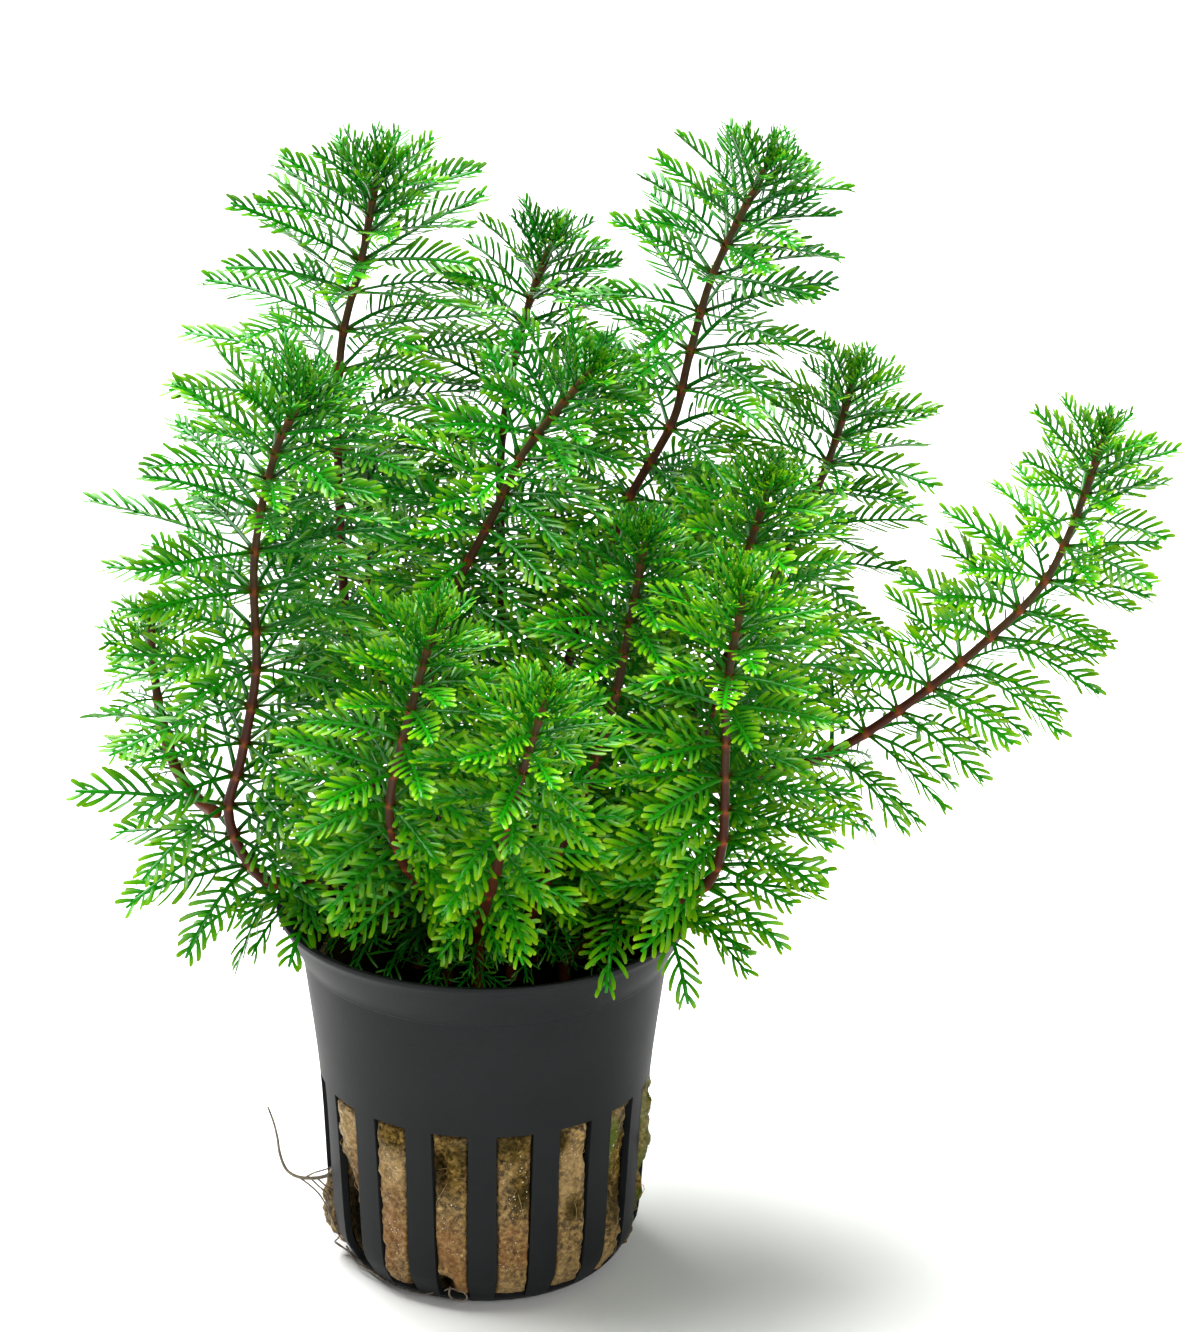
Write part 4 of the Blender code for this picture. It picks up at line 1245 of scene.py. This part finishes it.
# The fine roots, which web the long root to the pot and run along its foot. Each has points in millimetres at
# the long root, and then some by the pot, as (turn from the front in degrees, outside the wall, height).
ROOTLETS = (
    (((-23.9, -3.9, 11.75), (-22.8, -4.1, 12.5)), ((-80, 0.2, 12.9), (-80, -1, 13.4))),
    (((-23.3, -3.9, 11.6), (-22.3, -4.2, 10.7)), ((-79, 0.5, 9.2), (-77, 0.4, 6.6), (-76, -0.6, 5.4))),
    (
        ((-24.9, -3.9, 11.8), (-23.4, -4.3, 10.8), (-22.0, -4.6, 9.4)),
        ((-76, 0.7, 7.4), (-74, 0.3, 5.6), (-73, 0.4, 3.8)),
    ),
    (((-22.4, -3.9, 11.6),), ((-78, 0.3, 10.4), (-81, -0.6, 9.4))),
    ((), ((-75, -0.4, 4.2), (-77, 0.8, 2.9), (-80, 1.8, 1.7), (-76, 0.9, 1.1), (-70, 0.4, 1.6))),
    ((), (
        (-80, 1.7, 1.7), (-77, 1.2, 0.6), (-70, 0.6, 0.5), (-60, 0.4, 0.6), (-48, 0.4, 0.8), (-36, 0.5, 0.9),
        (-24, 0.3, 1.4), (-19, -0.5, 2.2),
    )),
    ((), ((-70, 0.3, 2.9), (-62, 0.7, 1.6), (-53, 0.3, 1.5), (-44, 0.6, 0.5), (-40, 0.3, 0.9))),
    ((), (
        (-14, -0.8, 3.2), (-14, 0.4, 2.2), (-11, 0.9, 1.3), (-7, 0.7, 1.9), (-8, 0.5, 3.2), (-13, 0.3, 3.6),
        (-16, 0, 2.7),
    )),
)


def by_the_pot(turn, outside, height):
    """A point in millimetres that far outside the pot's wall, at a turn in degrees from the front."""
    radius = wall_radius(height * MM) / MM + outside
    angle = radians(turn)
    return radius * sin(angle), -radius * cos(angle), height


def root_tube(route, thick, thin, sides, rows):
    """The rows of a root through points in millimetres, and of a thickness at each end."""
    length, place = stations(route)
    levels = np.linspace(length, 0, rows).tolist()
    radii = [thin + (thick - thin) * distance / length for distance in levels]
    return ring_rows([place(distance) for distance in levels], radii, sides)


def make_roots(settings):
    """The long root, thinning towards its tip, and the fine roots."""
    bm = bmesh.new()
    add_tube(bm, root_tube(ROOT_ROUTE, settings.base_radius, settings.tip_radius, 8, 44))
    for at_root, by_pot in ROOTLETS:
        route = (*at_root, *[by_the_pot(*point) for point in by_pot])
        add_tube(bm, root_tube(route, settings.rootlet_radius, 0.7 * settings.rootlet_radius, 6, 32))
    mesh = mesh_from(bm, "root")
    mesh.uv_layers[0].name = "OFBake"
    return mesh


class WATERPLANT_OT_roots(bpy.types.Operator):
    """Grow the roots that leave the pot"""

    bl_idname = "waterplant.roots"
    bl_label = "Roots"

    def execute(self, context):
        settings = context.scene.water_plant.root
        finished(make_roots(settings), "free_roots", root_surface(), "root", "long_root")
        return {"FINISHED"}


# Stage

def place_camera():
    """The camera at the photograph's viewing angle."""
    camera = in_scene("camera", bpy.data.cameras.new("camera"))
    place = Matrix.Translation(CAMERA_PLACE)
    for angle, axis in ((-CAMERA_YAW, "Z"), (radians(90) - CAMERA_PITCH, "X"), (CAMERA_ROLL, "Z")):
        place = place @ Matrix.Rotation(angle, 4, axis)
    camera.matrix_world = place
    camera.data.sensor_width = SENSOR
    camera.data.lens = SENSOR * FOCAL_PIXELS / IMAGE_HEIGHT
    bpy.context.scene.camera = camera


def add_light(name, place, size, power):
    """A soft square light that faces the plant."""
    light = bpy.data.lights.new(name, "AREA")
    light.size = size
    light.energy = power
    made = in_scene(name, light)
    made.location = place
    made.rotation_euler = (PLANT_MIDDLE - Vector(place)).to_track_quat("-Z", "Y").to_euler()


class WATERPLANT_OT_stage(bpy.types.Operator):
    """Set up the floor, the lights and the camera"""

    bl_idname = "waterplant.stage"
    bl_label = "Stage"

    def execute(self, context):
        settings = context.scene.water_plant.stage
        bm = bmesh.new()
        bmesh.ops.create_grid(bm, x_segments=1, y_segments=1, size=3)
        mesh = mesh_from(bm, "floor")
        surface, tree, shader = new_material("matt board, pale")
        feed(tree, shader, {"Base Color": settings.floor, "Roughness": 0.9})
        mesh.materials.append(surface)
        in_scene("floor", mesh)
        world = bpy.data.worlds.new("soft white room")
        world.use_nodes = True
        context.scene.world = world
        tree = world.node_tree
        feed(tree, tree.nodes["Background"], {"Color": (1, 1, 1, 1), "Strength": settings.sky})
        add_light("overhead", (-0.2, 0.15, 0.85), 0.7, settings.key)
        add_light("front", (0.5, -0.9, 0.5), 0.6, settings.fill)
        place_camera()
        context.scene.view_settings.view_transform = "Standard"
        return {"FINISHED"}


# Panel and registration

class WATERPLANT_PT_panel(bpy.types.Panel):
    """Buttons and settings of the potted plant"""

    bl_idname = "WATERPLANT_PT_panel"
    bl_label = "Potted Feather Plant"
    bl_space_type = "VIEW_3D"
    bl_region_type = "UI"
    bl_category = "Water Plant"

    def draw(self, context):
        for operator in OPERATORS:
            self.layout.operator(operator.bl_idname)
        for group in ("leaf", "stem", "pot", "wool", "root", "stage"):
            box = self.layout.box()
            settings = getattr(context.scene.water_plant, group)
            for name in settings.__annotations__:
                box.prop(settings, name)


OPERATORS = (
    WATERPLANT_OT_pot, WATERPLANT_OT_wool, WATERPLANT_OT_roots, WATERPLANT_OT_stems, WATERPLANT_OT_leaves,
    WATERPLANT_OT_stage,
)
CLASSES = (
    LeafSettings, StemSettings, PotSettings, WoolSettings, RootSettings, StageSettings, PlantSettings,
    *OPERATORS, WATERPLANT_PT_panel,
)


def register():
    for made in CLASSES:
        bpy.utils.register_class(made)
    bpy.types.Scene.water_plant = PointerProperty(type=PlantSettings)


def unregister():
    del bpy.types.Scene.water_plant
    for made in reversed(CLASSES):
        bpy.utils.unregister_class(made)


def main():
    register()
    bpy.ops.waterplant.pot()
    bpy.ops.waterplant.wool()
    bpy.ops.waterplant.roots()
    bpy.ops.waterplant.stems()
    bpy.ops.waterplant.leaves()
    bpy.ops.waterplant.stage()


if __name__ == "__main__":
    main()
